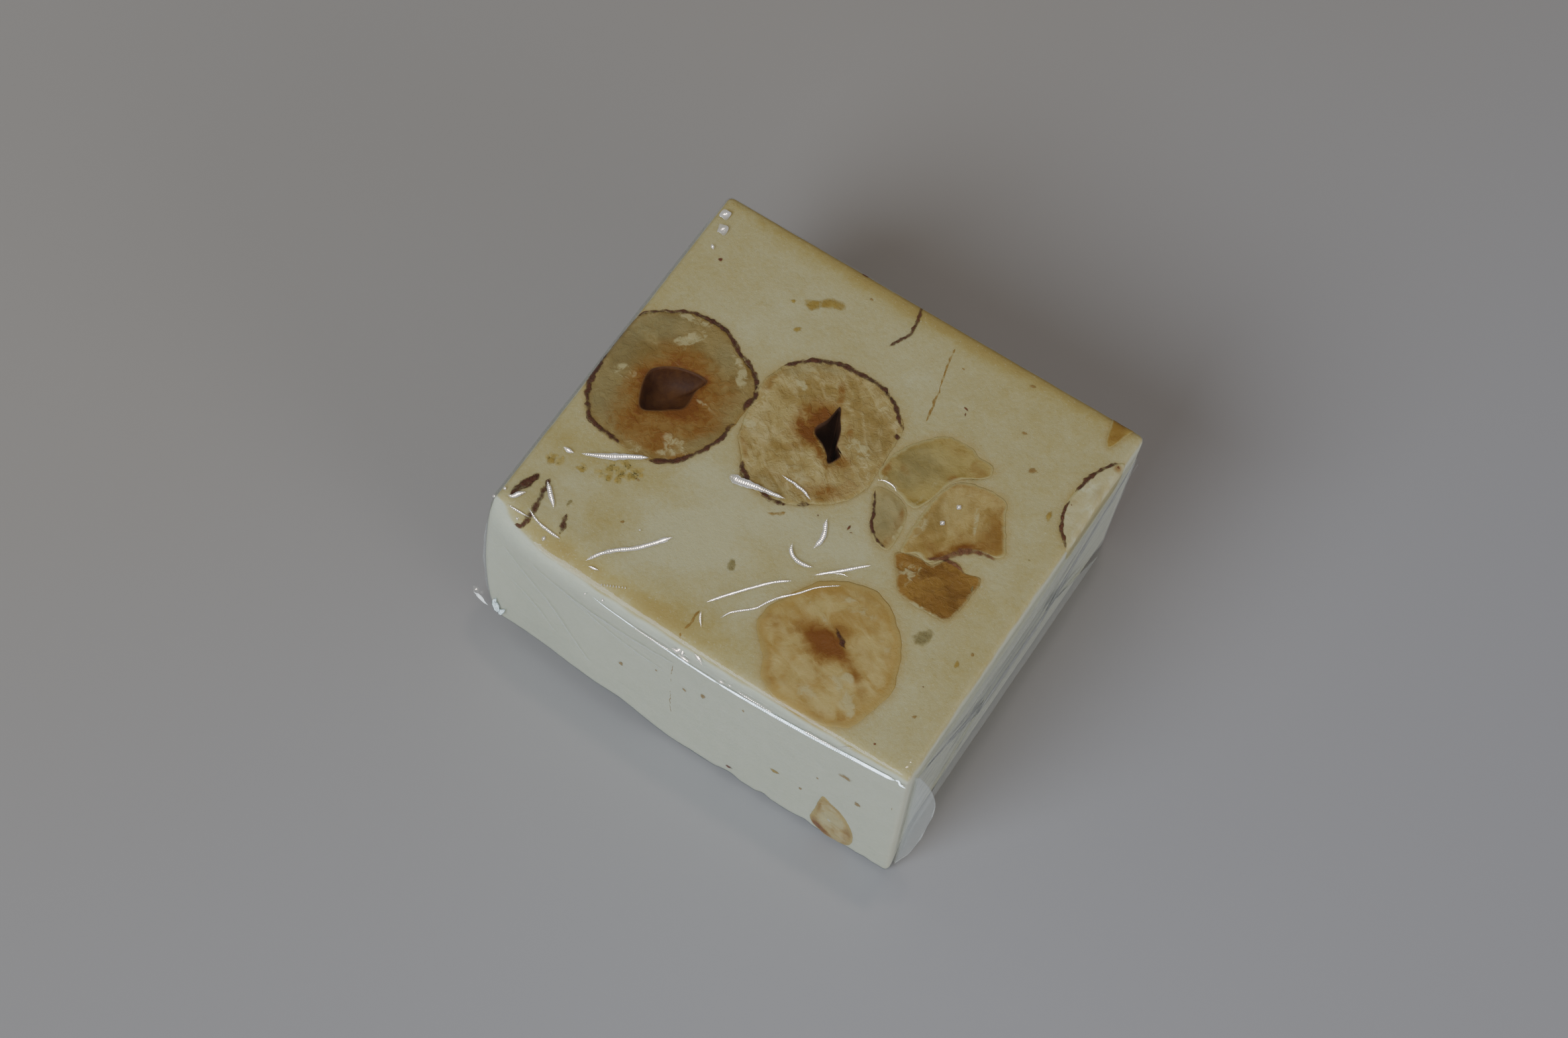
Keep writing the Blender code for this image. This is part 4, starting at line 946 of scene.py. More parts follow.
def toned(color, red, green, blue):
    """A display colour with each channel scaled, as a material colour."""
    return paint(*(min(252.0, value * share) for value, share in zip(color, (red, green, blue))))


def kernel_finish(name, kernel):
    """Cut hazelnut: oily mottled flesh, paler streaks, toasted marks and a roasted hollow."""
    finish = Finish(name)
    place = finish.stretched(kernel["fibre"], 1.9, 0.70)
    broad = finish.smooth(finish.noise(0.24, 3.0, 0.5, warp=0.8), 0.38, 0.62)
    mottle = finish.smooth(finish.noise(0.45, 3.0, 0.5, warp=0.9), 0.34, 0.66)
    streaks = finish.smooth(finish.noise(0.60, 3.0, 0.5, place, 0.9), 0.38, 0.72)
    crumb = finish.smooth(finish.noise(1.6, 4.0, 0.64, warp=0.6), 0.38, 0.62)
    fine = finish.noise(4.0, 4.0, 0.62)
    toast = finish.field("toast")
    grey = finish.field("grey")
    pale = finish.field("pale")
    color = kernel["flesh"]
    rough = kernel["rough"]
    uneven = (broad - 0.5) * 0.30 + (mottle - 0.5) * 0.45 + (crumb - 0.5) * (0.2 + 0.4 * rough)
    shade = broad * 0.40 + mottle * 0.40 + crumb * 0.20 * rough + (1.0 - streaks) * 0.12
    flesh = finish.mix(finish.smooth(shade, 0.15, 0.85), toned(color, 1.04, 1.05, 1.08),
                       paint(*kernel["deep"]))
    cream = streaks * (1.0 - 0.7 * rough + crumb * (0.7 * rough))
    flesh = finish.mix(cream * kernel["cream"], flesh, toned(color, 1.13, 1.17, 1.32))
    # Painted shade: the colour darkens to a deeper brown in the low spots of the bump, most on the rough
    # kernels.
    pit_shade = finish.smooth(crumb * 0.6 + mottle * 0.4, 0.30, 0.0)
    flesh = finish.mix(pit_shade * (0.5 * rough), flesh, toned(color, 0.84, 0.76, 0.56))
    greyed = (grey * 0.85 + grey * uneven * 0.6).clipped() * 0.65
    flesh = finish.mix(greyed, flesh, paint(156, 146, 104))
    rim = finish.field("rim")
    flesh = finish.mix(finish.smooth(rim + uneven * 0.25, 0.05, 1.0) * kernel["rim"], flesh,
                       toned(color, 0.92, 0.81, 0.50))
    browned = (toast * 0.95 + uneven * finish.smooth(toast, 0.02, 0.40) * 0.45).clipped()
    flesh = finish.mix(finish.smooth(browned, 0.0, 0.90), flesh, paint(158, 112, 46))
    flesh = finish.mix(finish.smooth(browned, 0.60, 1.20) * 0.90, flesh, paint(132, 68, 14))
    pallor = (pale * 0.9 + uneven * finish.smooth(pale, 0.05, 0.4) * 1.5).clipped()
    flesh = finish.mix(finish.smooth(pallor, 0.15, 1.00) * 0.75, flesh, paint(216, 202, 150))
    melt = finish.smooth(rim + uneven * 0.35, 0.45, 1.0)
    flesh = finish.mix(melt * kernel["melt"], flesh, paint(204, 190, 134))
    hollow = finish.field("hollow")
    roast = finish.mix(mottle * 0.6 + crumb * 0.4, paint(86, 46, 14), paint(116, 72, 30))
    dark = finish.mix(mottle, paint(76, 46, 24), paint(96, 60, 34))
    roast = finish.mix(finish.field("depth"), roast, dark)
    flesh = finish.mix(finish.smooth(hollow + uneven * 0.10, 0.30, 0.95), flesh, roast)
    relief = streaks * (0.30 * rough) + crumb * (0.50 * rough) + fine * (0.20 * rough) + mottle * 0.18
    normal = finish.height(relief * (1.0 - finish.smooth(hollow, 0.2, 0.8) * 0.7), 0.00010)
    return finish.done(finish.surface(
        flesh, 0.34 + fine * 0.10 + hollow * 0.25, Normal=normal, Subsurface_Weight=0.12,
        Subsurface_Radius=(1.0, 0.7, 0.4), Subsurface_Scale=0.0005, IOR=1.45))


def skin_finish(look):
    """Roasted hazelnut skin: dark, papery, with soft worn edges."""
    finish = Finish("roasted_skin")
    fine = finish.smooth(finish.noise(3.0, 4.0, 0.65), 0.35, 0.65)
    broad = finish.smooth(finish.noise(0.7, 3.0, 0.6), 0.35, 0.65)
    base = finish.mix((fine * 0.5 + broad * 0.5), tuple(look.skin), paint(116, 66, 42))
    cover = finish.smooth(finish.field("gleam") + (fine - 0.5) * 0.30 + (broad - 0.5) * 0.35, 0.05, 0.85)
    normal = finish.height(fine, 0.00006)
    return finish.done(finish.surface(base, 0.4 + fine * 0.2, Alpha=cover * 0.9, Normal=normal))


def crumb_finish(name, first, second, cover):
    """A nut crumb or syrup mark sunk in the nougat, mottled, with edges that melt away."""
    finish = Finish(name)
    fine = finish.smooth(finish.noise(2.4, 4.0, 0.6), 0.35, 0.65)
    mottle = finish.smooth(finish.noise(0.9, 3.0, 0.6), 0.35, 0.65)
    base = finish.mix(fine * 0.6 + mottle * 0.4, paint(*first), paint(*second))
    normal = finish.height(fine, 0.00005)
    alpha = finish.field("gleam") + (fine - 0.5) * 0.25 + (mottle - 0.5) * 0.25
    alpha = finish.smooth(alpha, 0.10, 0.95) * cover
    return finish.done(finish.surface(base, 0.5 + fine * 0.1, Alpha=alpha, Normal=normal))


def film_finish():
    """Clear film: see-through, with gloss that rises to grazing angles and a trace of mist."""
    settings = bpy.context.scene.nougat_film
    finish = Finish("clear_film")
    broad = finish.noise(0.20, 3.0, 0.55)
    fine = finish.noise(1.1, 3.0, 0.6)
    dust = finish.smooth(finish.noise(7.0, 2.0, 0.6), 0.62, 0.74)
    share = finish.grazing() * 0.62 + (fine + 0.5) * 0.003 + dust * 0.01
    normal = finish.height(broad + fine * 0.12, settings.wrinkle)
    shine = finish.surface((0.95, 0.97, 1.0), settings.roughness, Metallic=1.0, Normal=normal)
    return finish.see_through(share.at_most(0.34), (0.985, 0.99, 0.985), shine)


def crease_finish(name, share, tint):
    """A crease of the film: clear plastic pinched until it gleams along its line."""
    finish = Finish(name)
    fine = finish.noise(3.0, 3.0, 0.6)
    factor = (finish.field("gleam") * share * (0.80 + fine * 0.4)).clipped()
    shine = finish.surface(tint, 0.08 + fine * 0.06, Metallic=0.40)
    return finish.see_through(factor, (0.98, 0.985, 0.98), shine)


def fold_finish(name, share):
    """Several layers of film folded together: clear with a grey mist and soft gloss."""
    settings = bpy.context.scene.nougat_film
    finish = Finish(name)
    broad = finish.noise(0.35, 3.0, 0.6)
    fine = finish.noise(1.6, 3.0, 0.6)
    factor = finish.grazing() * 0.7 + (0.4 + fine * 1.2) * share
    normal = finish.height(broad + fine * 0.3, settings.wrinkle)
    shine = finish.surface((0.86, 0.88, 0.86), settings.roughness * 3.0, Metallic=0.0, Normal=normal)
    return finish.see_through(factor.at_most(0.22), (0.97, 0.975, 0.97), shine)


def milky_sheen_finish(name, share, tint):
    """Film bunched up until it turns milky, with a painted sheen: a soft pale diffuse line that stays
    light under any lamp, densest along its middle.
    """
    finish = Finish(name)
    fine = finish.smooth(finish.noise(1.2, 3.0, 0.6), 0.35, 0.65)
    cover = finish.smooth(finish.field("gleam"), 0.0, 1.0) * share * (0.45 + fine * 0.55)
    return finish.done(finish.surface(paint(*tint), 0.35, Alpha=cover))


def table_finish(stage):
    """Pale glossy table top with a faint cloud; its colour drifts from warm at the left to cool, painted
    light for the warm lamp on the left and the cool light from the front and right.
    """
    finish = Finish("pale_table")
    cloud = finish.noise(0.012, 3.0, 0.5)
    fine = finish.noise(0.4, 3.0, 0.6)
    # Painted light: the drift from warm at the left to cool at the right stands for the warm key lamp
    # behind on the left and the cool window and fill light from the front and right.
    painted_light_drift = finish.smooth(finish.along((1.0, -0.45, 0.0)) * 0.011 + cloud * 0.3, -0.55, 0.75)
    warm, cool = (tuple(value * share for value, share in zip(stage.floor_color, shares))
                  for shares in ((0.97, 0.87, 0.76), (1.02, 0.98, 0.99)))
    base = finish.mix(painted_light_drift, warm, cool)
    base = finish.mix(cloud * 0.35 + fine * 0.08, base, toned((170, 170, 172), 0.97, 0.97, 0.97))
    return finish.done(finish.surface(base, 0.32 + fine * 0.06))


# ---------------------------------------------------------------- placing on the block

def draped(x, y, lift):
    """Settled points over the cut face, wrapped over its edges and down the walls.

    x and y are in millimetres, seen from above, up to the walls; a place
    farther out runs that much farther down the wall. lift, in metres, is off
    the surface.
    """
    x, y, lift = np.broadcast_arrays(np.asarray(x) * MM, np.asarray(y) * MM, lift)
    over_x, over_y, safe = beyond_core(x, y)
    over = np.hypot(over_x, over_y)
    turn = np.arcsin(np.clip(over / EDGE_RADIUS, 0.0, 1.0) ** (1.0 / EDGE_POWER))
    down = np.clip(over - EDGE_RADIUS, 0.0, None)
    out = (EDGE_RADIUS + lift) * np.sin(turn)
    core_x = np.clip(x, -CORE_X, CORE_X)
    core_y = np.clip(y, -CORE_Y, CORE_Y)
    z = CUT_Z - EDGE_RADIUS + (EDGE_RADIUS + lift) * np.cos(turn) - down
    x, y = core_x + over_x / safe * out, core_y + over_y / safe * out
    return settled(np.stack([x, y, z], axis=-1))


def wall_run(z):
    """How far beyond the core edge, in millimetres, a height z on a wall lies for draped."""
    drop = CUT_Z - np.asarray(z) * MM
    turn = np.arccos(np.clip(1.0 - drop / EDGE_RADIUS, 0.0, 1.0))
    return np.where(drop < EDGE_RADIUS, EDGE_RADIUS * np.sin(turn) ** EDGE_POWER, drop) / MM


def front_wall(x, z, lift):
    """Settled points on the front wall: x and z in millimetres, lift in metres."""
    return draped(x, -CORE_Y / MM - wall_run(z), lift)


def end_wall(side):
    """Placing of y and z, in millimetres, on the right (1) or left (-1) end wall."""
    return lambda y, z, lift: draped(side * (CORE_X / MM + wall_run(z)), y, lift)


def left_foot(x, z, lift):
    """Points of the crumpled film beside the left front corner: x and z in millimetres."""
    x, z, lift = np.broadcast_arrays(np.asarray(x) * MM, np.asarray(z) * MM, lift)
    return np.stack([x, FOOT_Y + FOOT_SLOPE * (FOOT_X - x) - lift, z], axis=-1)


def kernel_surface(kernel, place, inward):
    """Closed kernel of rings about its centre, with its tone fields.

    The rings run from the hollow's floor up its wall, over the cut face to the
    outline, round the rim, and down an egg-shaped underside to one point.
    """
    angles = np.linspace(-math.pi, math.pi, KERNEL_ANGLES, endpoint=False)
    centre = kernel_centre(kernel)
    reach = reach_by_angle(kernel["outline"], centre, angles)
    reach = reach * (1.0 + 0.006 * np.sin(angles * 17 + 1.0) + 0.004 * np.sin(angles * 31))
    hollowed = "hollow" in kernel
    if hollowed:
        mouth = reach_by_angle(kernel["hollow"], centre, angles)
        inner = np.linspace(0.04, 1.0, HOLLOW_RINGS)[:, None]
        floor = inner * mouth
        sunk = -kernel["hollow_depth"] * (1.0 - inner ** 2.6) ** 0.8 + 0.0 * mouth
    else:
        mouth = reach * 0.02
        floor, sunk = mouth[None, :], np.zeros((1, KERNEL_ANGLES))
    share = (np.linspace(0.0, 1.0, FACE_RINGS + 1)[1:, None]) ** 0.85
    face = mouth + (reach - mouth) * share
    rounding = np.clip(1.0 - (reach - face) / 0.22, 0.0, 1.0)
    lip = np.exp(-(face - mouth) / 0.35) * (0.14 if hollowed else 0.0)
    radius = np.vstack([floor, face])
    lift = np.vstack([sunk, -0.035 * rounding ** 2 - lip])
    x, y = centre[0] + radius * np.cos(angles), centre[1] + radius * np.sin(angles)
    flat = np.stack([x, y, np.zeros_like(x)], axis=-1)
    to_rim = np.clip(reach - radius, 0.0, None)
    lift = lift + 0.030 * ripple(flat, 1.6, 5) * np.clip(to_rim / 0.5, 0.0, 1.0)
    rows = place(x, y, lift * MM + FACE_PROUD)
    turn = np.linspace(0.0, math.pi / 2, SIDE_RINGS + 1)[1:-1, None, None]
    middle = place(centre[0], centre[1], 0.0)
    side = middle + (rows[-1] - middle) * np.cos(turn) ** 0.7 \
        + np.array(inward) * kernel["depth"] * MM * np.sin(turn)
    x, y, radius = (np.vstack([grid, np.repeat(grid[-1:], len(side), axis=0)])
                    for grid in (x, y, radius))
    to_rim = np.clip(reach - radius, 0.0, None)
    past_mouth = np.clip(radius - mouth, 0.0, None)
    halo = kernel["halo"] * np.exp(-(past_mouth / 0.95) ** 1.2) * (1.0 - np.exp(-past_mouth / 0.02))
    tones = {
        "toast": marks(x, y, kernel["toast"]) + halo,
        "grey": marks(x, y, kernel["grey"]),
        "pale": marks(x, y, kernel["pale"]),
        "rim": np.exp(-(to_rim / kernel["rim_width"]) ** 1.5),
        "hollow": np.exp(-past_mouth / 0.18) if hollowed else 0.0 * x,
        "depth": kernel.get("darkness", 0.0) + 0.0 * x,
    }
    return ring_solid(np.vstack([rows, side]), {
        name: (values, [values[0].mean(), values[-1].mean()]) for name, values in tones.items()})


def inside_kernels(x, y):
    """Each kernel of the cut face, with how far (mm) places lie inside its outline."""
    for kernel in KERNELS.values():
        centre = kernel_centre(kernel)
        angle = np.arctan2(y - centre[1], x - centre[0])
        reach = reach_by_angle(kernel["outline"], centre, angle)
        yield kernel, reach - np.hypot(x - centre[0], y - centre[1])


def pockets(x, y):
    """Depth (mm) by which the nougat gives way under each kernel of the cut face."""
    depth = np.zeros_like(x)
    for kernel, inside in inside_kernels(x, y):
        floor = kernel.get("hollow_depth", 0.0) + 0.6
        depth = np.maximum(depth, floor * ramp(inside, 0.12, 0.95))
    return depth


def near_kernels(x, y):
    """How close a place of the cut face is to a kernel's outline: 1 at it, 0 past 1.5 mm."""
    closeness = np.zeros_like(x)
    for kernel, inside in inside_kernels(x, y):
        closeness = np.maximum(closeness, np.exp(-np.clip(-inside, 0.0, None) / 0.35))
    return closeness


def sampled(route, widths, step, most, seed):
    """A route (mm) sampled evenly: its length, line, half widths, end taper and ripple places.

    The half width follows a curve through the three widths.
    """
    route = np.array(route, dtype=float)
    length = np.linalg.norm(np.diff(route, axis=0), axis=1).sum()
    count = int(max(9, min(most, length / step)))
    line = open_curve(route, count)
    t = np.linspace(0.0, 1.0, count)
    half = np.interp(t, [0.0, 0.5, 1.0], widths) * 0.5
    taper = np.clip(np.minimum(t, 1.0 - t) * length / np.minimum(0.6, length * 0.4), 0.0, 1.0) ** 0.6
    spots = np.stack([line[:, 0], line[:, 1], np.full(count, seed * 3.7)], axis=1)
    return length, line, half, taper, spots


def path_strip(route, widths, height, place, lift, rough, seed):
    """Closed lens-shaped strip along a route, with the gleam field of its crest.

    It ends in points; rough adds seeded unevenness to its width and line (mm).
    """
    length, line, half, taper, spots = sampled(route, widths, 0.05, 600, seed)
    along = unit(np.gradient(line, axis=0))
    across = np.stack([-along[:, 1], along[:, 0]], axis=1)
    line = line + across * (rough * 0.35 * ripple(spots, 0.9, seed))[:, None]
    half = half * np.maximum(taper, 0.04) * (1.0 + rough * 1.6 * ripple(spots, 0.5, seed + 1))
    angles = np.linspace(0.0, 2.0 * math.pi, STRIP_CORNERS, endpoint=False)
    offset = np.maximum(half, 0.01)[:, None] * np.cos(angles)
    x, y = (line[:, axis, None] + across[:, axis, None] * offset for axis in range(2))
    rise = np.sin(angles) * height * np.maximum(taper, 0.1)[:, None]
    gleam = (taper * (0.75 + 0.25 * ripple(spots, 0.7, seed + 2)))[:, None] * np.sin(angles) ** 2
    return ring_solid(place(x, y, lift + rise * MM), {"gleam": (gleam, [0.0, 0.0])})


def facet_strip(route, widths, lamp, place, lift, rough, seed):
    """Closed thin pleat along a route, tilted so that it mirrors a lamp to the viewer.

    Each ring is a flat ellipse: its long axis crosses the route at right angles
    to the direction halfway between viewer and lamp. Along the route the pleat
    runs in small saw teeth that face that direction too, and a very short one
    lies flat in its plane. It ends in points.
    """
    length, line, half, taper, spots = sampled(route, widths, 0.03, 500, seed)
    line = line + (rough * 0.3 * ripple(spots, 0.9, seed))[:, None] * np.array([0.7, 0.7])
    half = half * np.maximum(taper, 0.05) * (1.0 + rough * ripple(spots, 0.6, seed + 1))
    half = np.maximum(half, 0.012) * MM
    centre = place(line[:, 0], line[:, 1], np.full(len(line), lift))
    if length < FLAT_LENGTH:
        middle = centre.mean(axis=0)
        facing = unit(unit(EYE - middle) + unit(lamp - middle))
        centre = centre - ((centre - middle) @ facing)[:, None] * facing
    along = unit(np.gradient(centre, axis=0))
    half_way = unit(unit(EYE - centre) + unit(lamp - centre))
    lean = np.einsum("ij,ij->i", along, half_way)
    normal = unit(half_way - lean[:, None] * along)
    slope = np.clip(lean / np.sqrt(1.0 - np.minimum(lean ** 2, 0.9)), -1.0, 1.0)
    tooth = (np.linspace(0.0, length, len(line)) / TOOTH) % 1.0 - 0.5
    centre = centre - normal * (tooth * TOOTH * MM * slope)[:, None]
    rows = lens_rows(centre, np.cross(along, normal), normal, half, half * 0.06 + PLEAT_THICK)
    gleam = np.repeat(taper * (0.8 + 0.3 * ripple(spots, 0.8, seed + 2)), PLEAT_CORNERS)
    return ring_solid(rows, {"gleam": (gleam, [0.0, 0.0])})


def strips(table, *settings, seed):
    """A lens-shaped strip for every route of a table, each with a seed of its own."""
    return [path_strip(*row, *settings, seed + order) for order, row in enumerate(table)]


def pleats(table, *settings, seed):
    """A pleat for every route of a table, each with a seed of its own."""
    return [facet_strip(*row, *settings, seed + order) for order, row in enumerate(table)]


def crumb_surface(x, y, half_x, half_y, turn, place, seed, proud=0.02):
    """Flattened uneven ellipsoid sunk in the surface: rings from its top to its underside."""
    angles = np.linspace(-math.pi, math.pi, 28, endpoint=False)
    uneven = 1.0 + 0.12 * np.sin(2 * angles + seed) + 0.10 * np.sin(3 * angles + 2 * seed) \
        + 0.06 * np.sin(7 * angles + seed)
    polar = np.linspace(0.06, 0.97, 12)[:, None] * math.pi
    along = half_x * np.sin(polar) ** 0.7 * (np.cos(angles) * uneven)
    aside = half_y * np.sin(polar) ** 0.7 * (np.sin(angles) * uneven)
    x, y = turned(x, y, along, aside, turn)
    upper = np.cos(polar) > 0
    thick = min(half_x, half_y)
    lift = np.where(upper, proud + 0.02, thick * 0.5) * np.cos(polar) + 0.0 * x
    core = np.where(upper, 1.0 - np.sin(polar) ** 1.4, 0.0) + 0.0 * x
    return ring_solid(place(x, y, lift * MM), {"gleam": (core, [1.0, 0.0])})


def dressed(name, parts, material, node=None):
    """Join parts into a piece that rides on the body, and hide the solid it stands for."""
    obj = new_piece(name, *join_parts(parts))
    obj.data.materials.append(material)
    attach(obj, BODY)
    if node:
        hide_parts(node)


# ---------------------------------------------------------------- settings


class NougatLook(bpy.types.PropertyGroup):
    """Colours of the nougat, its kernels and their skins."""

    white: bpy.props.FloatVectorProperty(
        name="White nougat", description="Nougat that stands off the film", subtype="COLOR",
        default=paint(217, 208, 163), min=0.0, max=1.0)
    # The tan and deep tan colours also paint the shade along the front edge of the cut face, where its
    # top falls away.
    tan: bpy.props.FloatVectorProperty(
        name="Tan nougat", description="Nougat that clings to the film", subtype="COLOR",
        default=paint(200, 181, 118), min=0.0, max=1.0)
    deep_tan: bpy.props.FloatVectorProperty(
        name="Deep tan", description="Nougat where the film clings closest", subtype="COLOR",
        default=paint(182, 152, 80), min=0.0, max=1.0)
    skin: bpy.props.FloatVectorProperty(
        name="Kernel skin", description="Roasted hazelnut skin", subtype="COLOR",
        default=paint(76, 42, 28), min=0.0, max=1.0)


class FilmLook(bpy.types.PropertyGroup):
    """Gloss and wrinkles of the clear film."""

    roughness: bpy.props.FloatProperty(
        name="Roughness", description="How matt the film is", default=0.07, min=0.0, max=1.0)
    wrinkle: bpy.props.FloatProperty(
        name="Wrinkle height", description="Height of the film's broad wrinkles",
        default=0.00015, min=0.0, max=0.002, unit="LENGTH")


class StageLook(bpy.types.PropertyGroup):
    """Table, lamps and camera."""

    floor_color: bpy.props.FloatVectorProperty(
        name="Table colour", description="Colour of the table top", subtype="COLOR",
        default=paint(170, 170, 172), min=0.0, max=1.0)
    key_power: bpy.props.FloatProperty(
        name="Key lamp", description="Power of the warm lamp behind on the left",
        default=0.065, min=0.0, unit="POWER")
    fill_power: bpy.props.FloatProperty(
        name="Right fill", description="Power of the soft low lamp on the right",
        default=1.0, min=0.0, unit="POWER")
    window_power: bpy.props.FloatProperty(
        name="Window lamp", description="Power of the cool lamp in front", default=3.7,
        min=0.0, unit="POWER")
    glint_power: bpy.props.FloatProperty(
        name="Glint lamp", description="Power of the small lamp that the creases mirror",
        default=0.25, min=0.0, unit="POWER")
    sky: bpy.props.FloatProperty(
        name="Sky", description="Brightness of the even surroundings", default=0.21, min=0.0)
    lens: bpy.props.FloatProperty(
        name="Lens", description="Focal length", default=50.0, min=10.0, unit="CAMERA")


# ---------------------------------------------------------------- operators


class NOUGAT_OT_block(bpy.types.Operator):
    """Build the block of beaten nougat"""

    bl_idname = "nougat.block"
    bl_label = "Nougat block"

    def execute(self, context):
        points, quads = block_surface(0.0, GRID_STEP)
        flat = points / MM
        x, y, z = points.T / MM
        deep = CUT_Z / MM - z
        top = ramp(z, CUT_Z / MM - 1.4, CUT_Z / MM - 0.2)
        flat_y = np.where(z < CUT_Z / MM - 0.2, y - deep * 0.3, y)
        # Tone of the cut face: tan where the film clings, white where it stands off, and painted shade
        # from the tan marks along the front edge, where the top falls away.
        cling_and_edge_shade = 0.42 + marks(x, flat_y, TAN_MARKS) * 0.62 - marks(x, flat_y, WHITE_MARKS) * 0.55
        edge_x = np.clip((np.abs(x) - CORE_X / MM), 0.0, None) + deep
        edge_y = np.clip((y - CORE_Y / MM), 0.0, None) + deep
        front_edge = (-y - CORE_Y / MM) + deep
        uneven = 0.22 * ripple(flat, 2.4, 17)
        wall = np.maximum(ramp(np.maximum(edge_x, edge_y) + uneven, 0.8, 1.5),
                          ramp(front_edge - np.interp(x, FRONT_EDGE_X, FRONT_EDGE_START) + uneven,
                               -0.25, 0.25))
        depth = pockets(x, y) * ramp(z, CUT_Z / MM - 1.0, CUT_Z / MM - 0.3)
        relief = 0.018 * ripple(flat, 3.2, 11) + 0.008 * ripple(flat, 1.1, 12)
        points = pushed(points, -(0.015 + relief.clip(-0.02, 0.2)))
        points[:, 2] -= depth * MM
        fields = {"cling_and_edge_shade": cling_and_edge_shade, "syrup": near_kernels(x, y) * top, "wall": wall}
        dressed("nougat_block", [(points, quads, NO_TRIANGLES, fields)],
                nougat_finish(context.scene.nougat_look), "nougat")
        return {"FINISHED"}


class NOUGAT_OT_kernels(bpy.types.Operator):
    """Build the cut hazelnut kernels"""

    bl_idname = "nougat.kernels"
    bl_label = "Hazelnut kernels"

    def execute(self, context):
        for name, kernel in KERNELS.items():
            dressed(name, [kernel_surface(kernel, draped, (0.0, 0.0, -1.0))],
                    kernel_finish("flesh_" + name, kernel),
                    name.replace("kernel", "hazelnut"))
        dressed("kernel_front_side", [kernel_surface(SIDE_KERNEL, front_wall, (0.0, 1.0, 0.0))],
                kernel_finish("flesh_front_side", SIDE_KERNEL), "hazelnut_front_side")
        return {"FINISHED"}


class NOUGAT_OT_skins(bpy.types.Operator):
    """Lay the dark skins and the syrup lines on the cut face"""

    bl_idname = "nougat.skins"
    bl_label = "Skins and syrup lines"

    def execute(self, context):
        dressed("kernel_skins", strips(SKINS, 0.07, draped, 0.00003, 0.20, seed=31),
                skin_finish(context.scene.nougat_look))
        dressed("syrup_lines", strips(SYRUP_LINES, 0.03, draped, -0.00004, 0.22, seed=71),
                crumb_finish("syrup", (196, 158, 84), (172, 128, 56), 0.75))
        dressed("kernel_seams", strips(SEAMS, 0.03, draped, 0.00008, 0.10, seed=171),
                crumb_finish("seam", (136, 78, 50), (172, 122, 86), 0.75))
        return {"FINISHED"}


class NOUGAT_OT_crumbs(bpy.types.Operator):
    """Scatter the nut crumbs in the cut face and the front wall"""

    bl_idname = "nougat.crumbs"
    bl_label = "Nut crumbs"

    def execute(self, context):
        for number, (name, first, second, cover) in enumerate(CRUMB_TONES):
            parts = [crumb_surface(*crumb[:5], draped, order * 1.7)
                     for order, crumb in enumerate(CRUMBS) if crumb[5] == number]
            parts += [crumb_surface(*crumb[:5], front_wall, order * 1.3, 0.0)
                      for order, crumb in enumerate(WALL_CRUMBS) if crumb[5] == number]
            dressed("crumbs_" + name, parts, crumb_finish("crumb_" + name, first, second, cover))
        draw = np.random.default_rng(17)
        parts = []
        for x, y, half_x, half_y, turn, count in GRAINS:
            reach = np.sqrt(draw.uniform(0.0, 1.0, count))
            angle = draw.uniform(-math.pi, math.pi, count)
            sizes = draw.uniform(0.13, 0.34, count)
            places = turned(x, y, reach * np.cos(angle) * half_x, reach * np.sin(angle) * half_y, turn)
            parts += [crumb_surface(*place, size * 1.3, size, 40.0 * order, draped, order * 1.1)
                      for order, (*place, size) in enumerate(zip(*places, sizes))]
        dressed("crumbs_grains", parts,
                crumb_finish("crumb_grains", (240, 214, 128), (232, 200, 104), 0.34))
        return {"FINISHED"}


class NOUGAT_OT_film(bpy.types.Operator):
    """Wrap the block in clear film"""

    bl_idname = "nougat.film"
    bl_label = "Film"

    def execute(self, context):
        points, quads = block_surface(AIR, FILM_STEP)
        flat = points / MM
        points = pushed(points, 0.030 * ripple(flat, 7.0, 21) + 0.012 * ripple(flat, 2.6, 22))
        points[:, 2] = np.maximum(points[:, 2], TABLE_GAP)
        dressed("film_sheet", [(points, quads, NO_TRIANGLES, NO_FIELDS)], film_finish(),
                "film_wrap")
        return {"FINISHED"}


class NOUGAT_OT_creases(bpy.types.Operator):
    """Pinch the fine creases into the film"""

    bl_idname = "nougat.creases"
    bl_label = "Creases"

    def execute(self, context):
        parts = []
        for order, (route, widths) in enumerate(CREASES):
            lift = AIR + (0.00005 if route[0][1] > EDGE_LINE else 0.00016)
            parts.append(facet_strip(route, widths, LAMP, draped, lift, 0.15, 131 + order))
        start, end, count = PUCKERS
        for share in np.linspace(0.0, 1.0, count):
            x, y = (low + (high - low) * share for low, high in zip(start, end))
            route = [(x - 0.05, y - 0.02), (x, y), (x + 0.07, y + 0.04)]
            parts.append(facet_strip(route, (0.1, 0.2, 0.1), LAMP, draped, AIR + 0.00004, 0.0, 9))
        dressed("film_creases", parts, crease_finish("crease_gleam", 0.75, (1.0, 0.95, 0.90)))
        return {"FINISHED"}


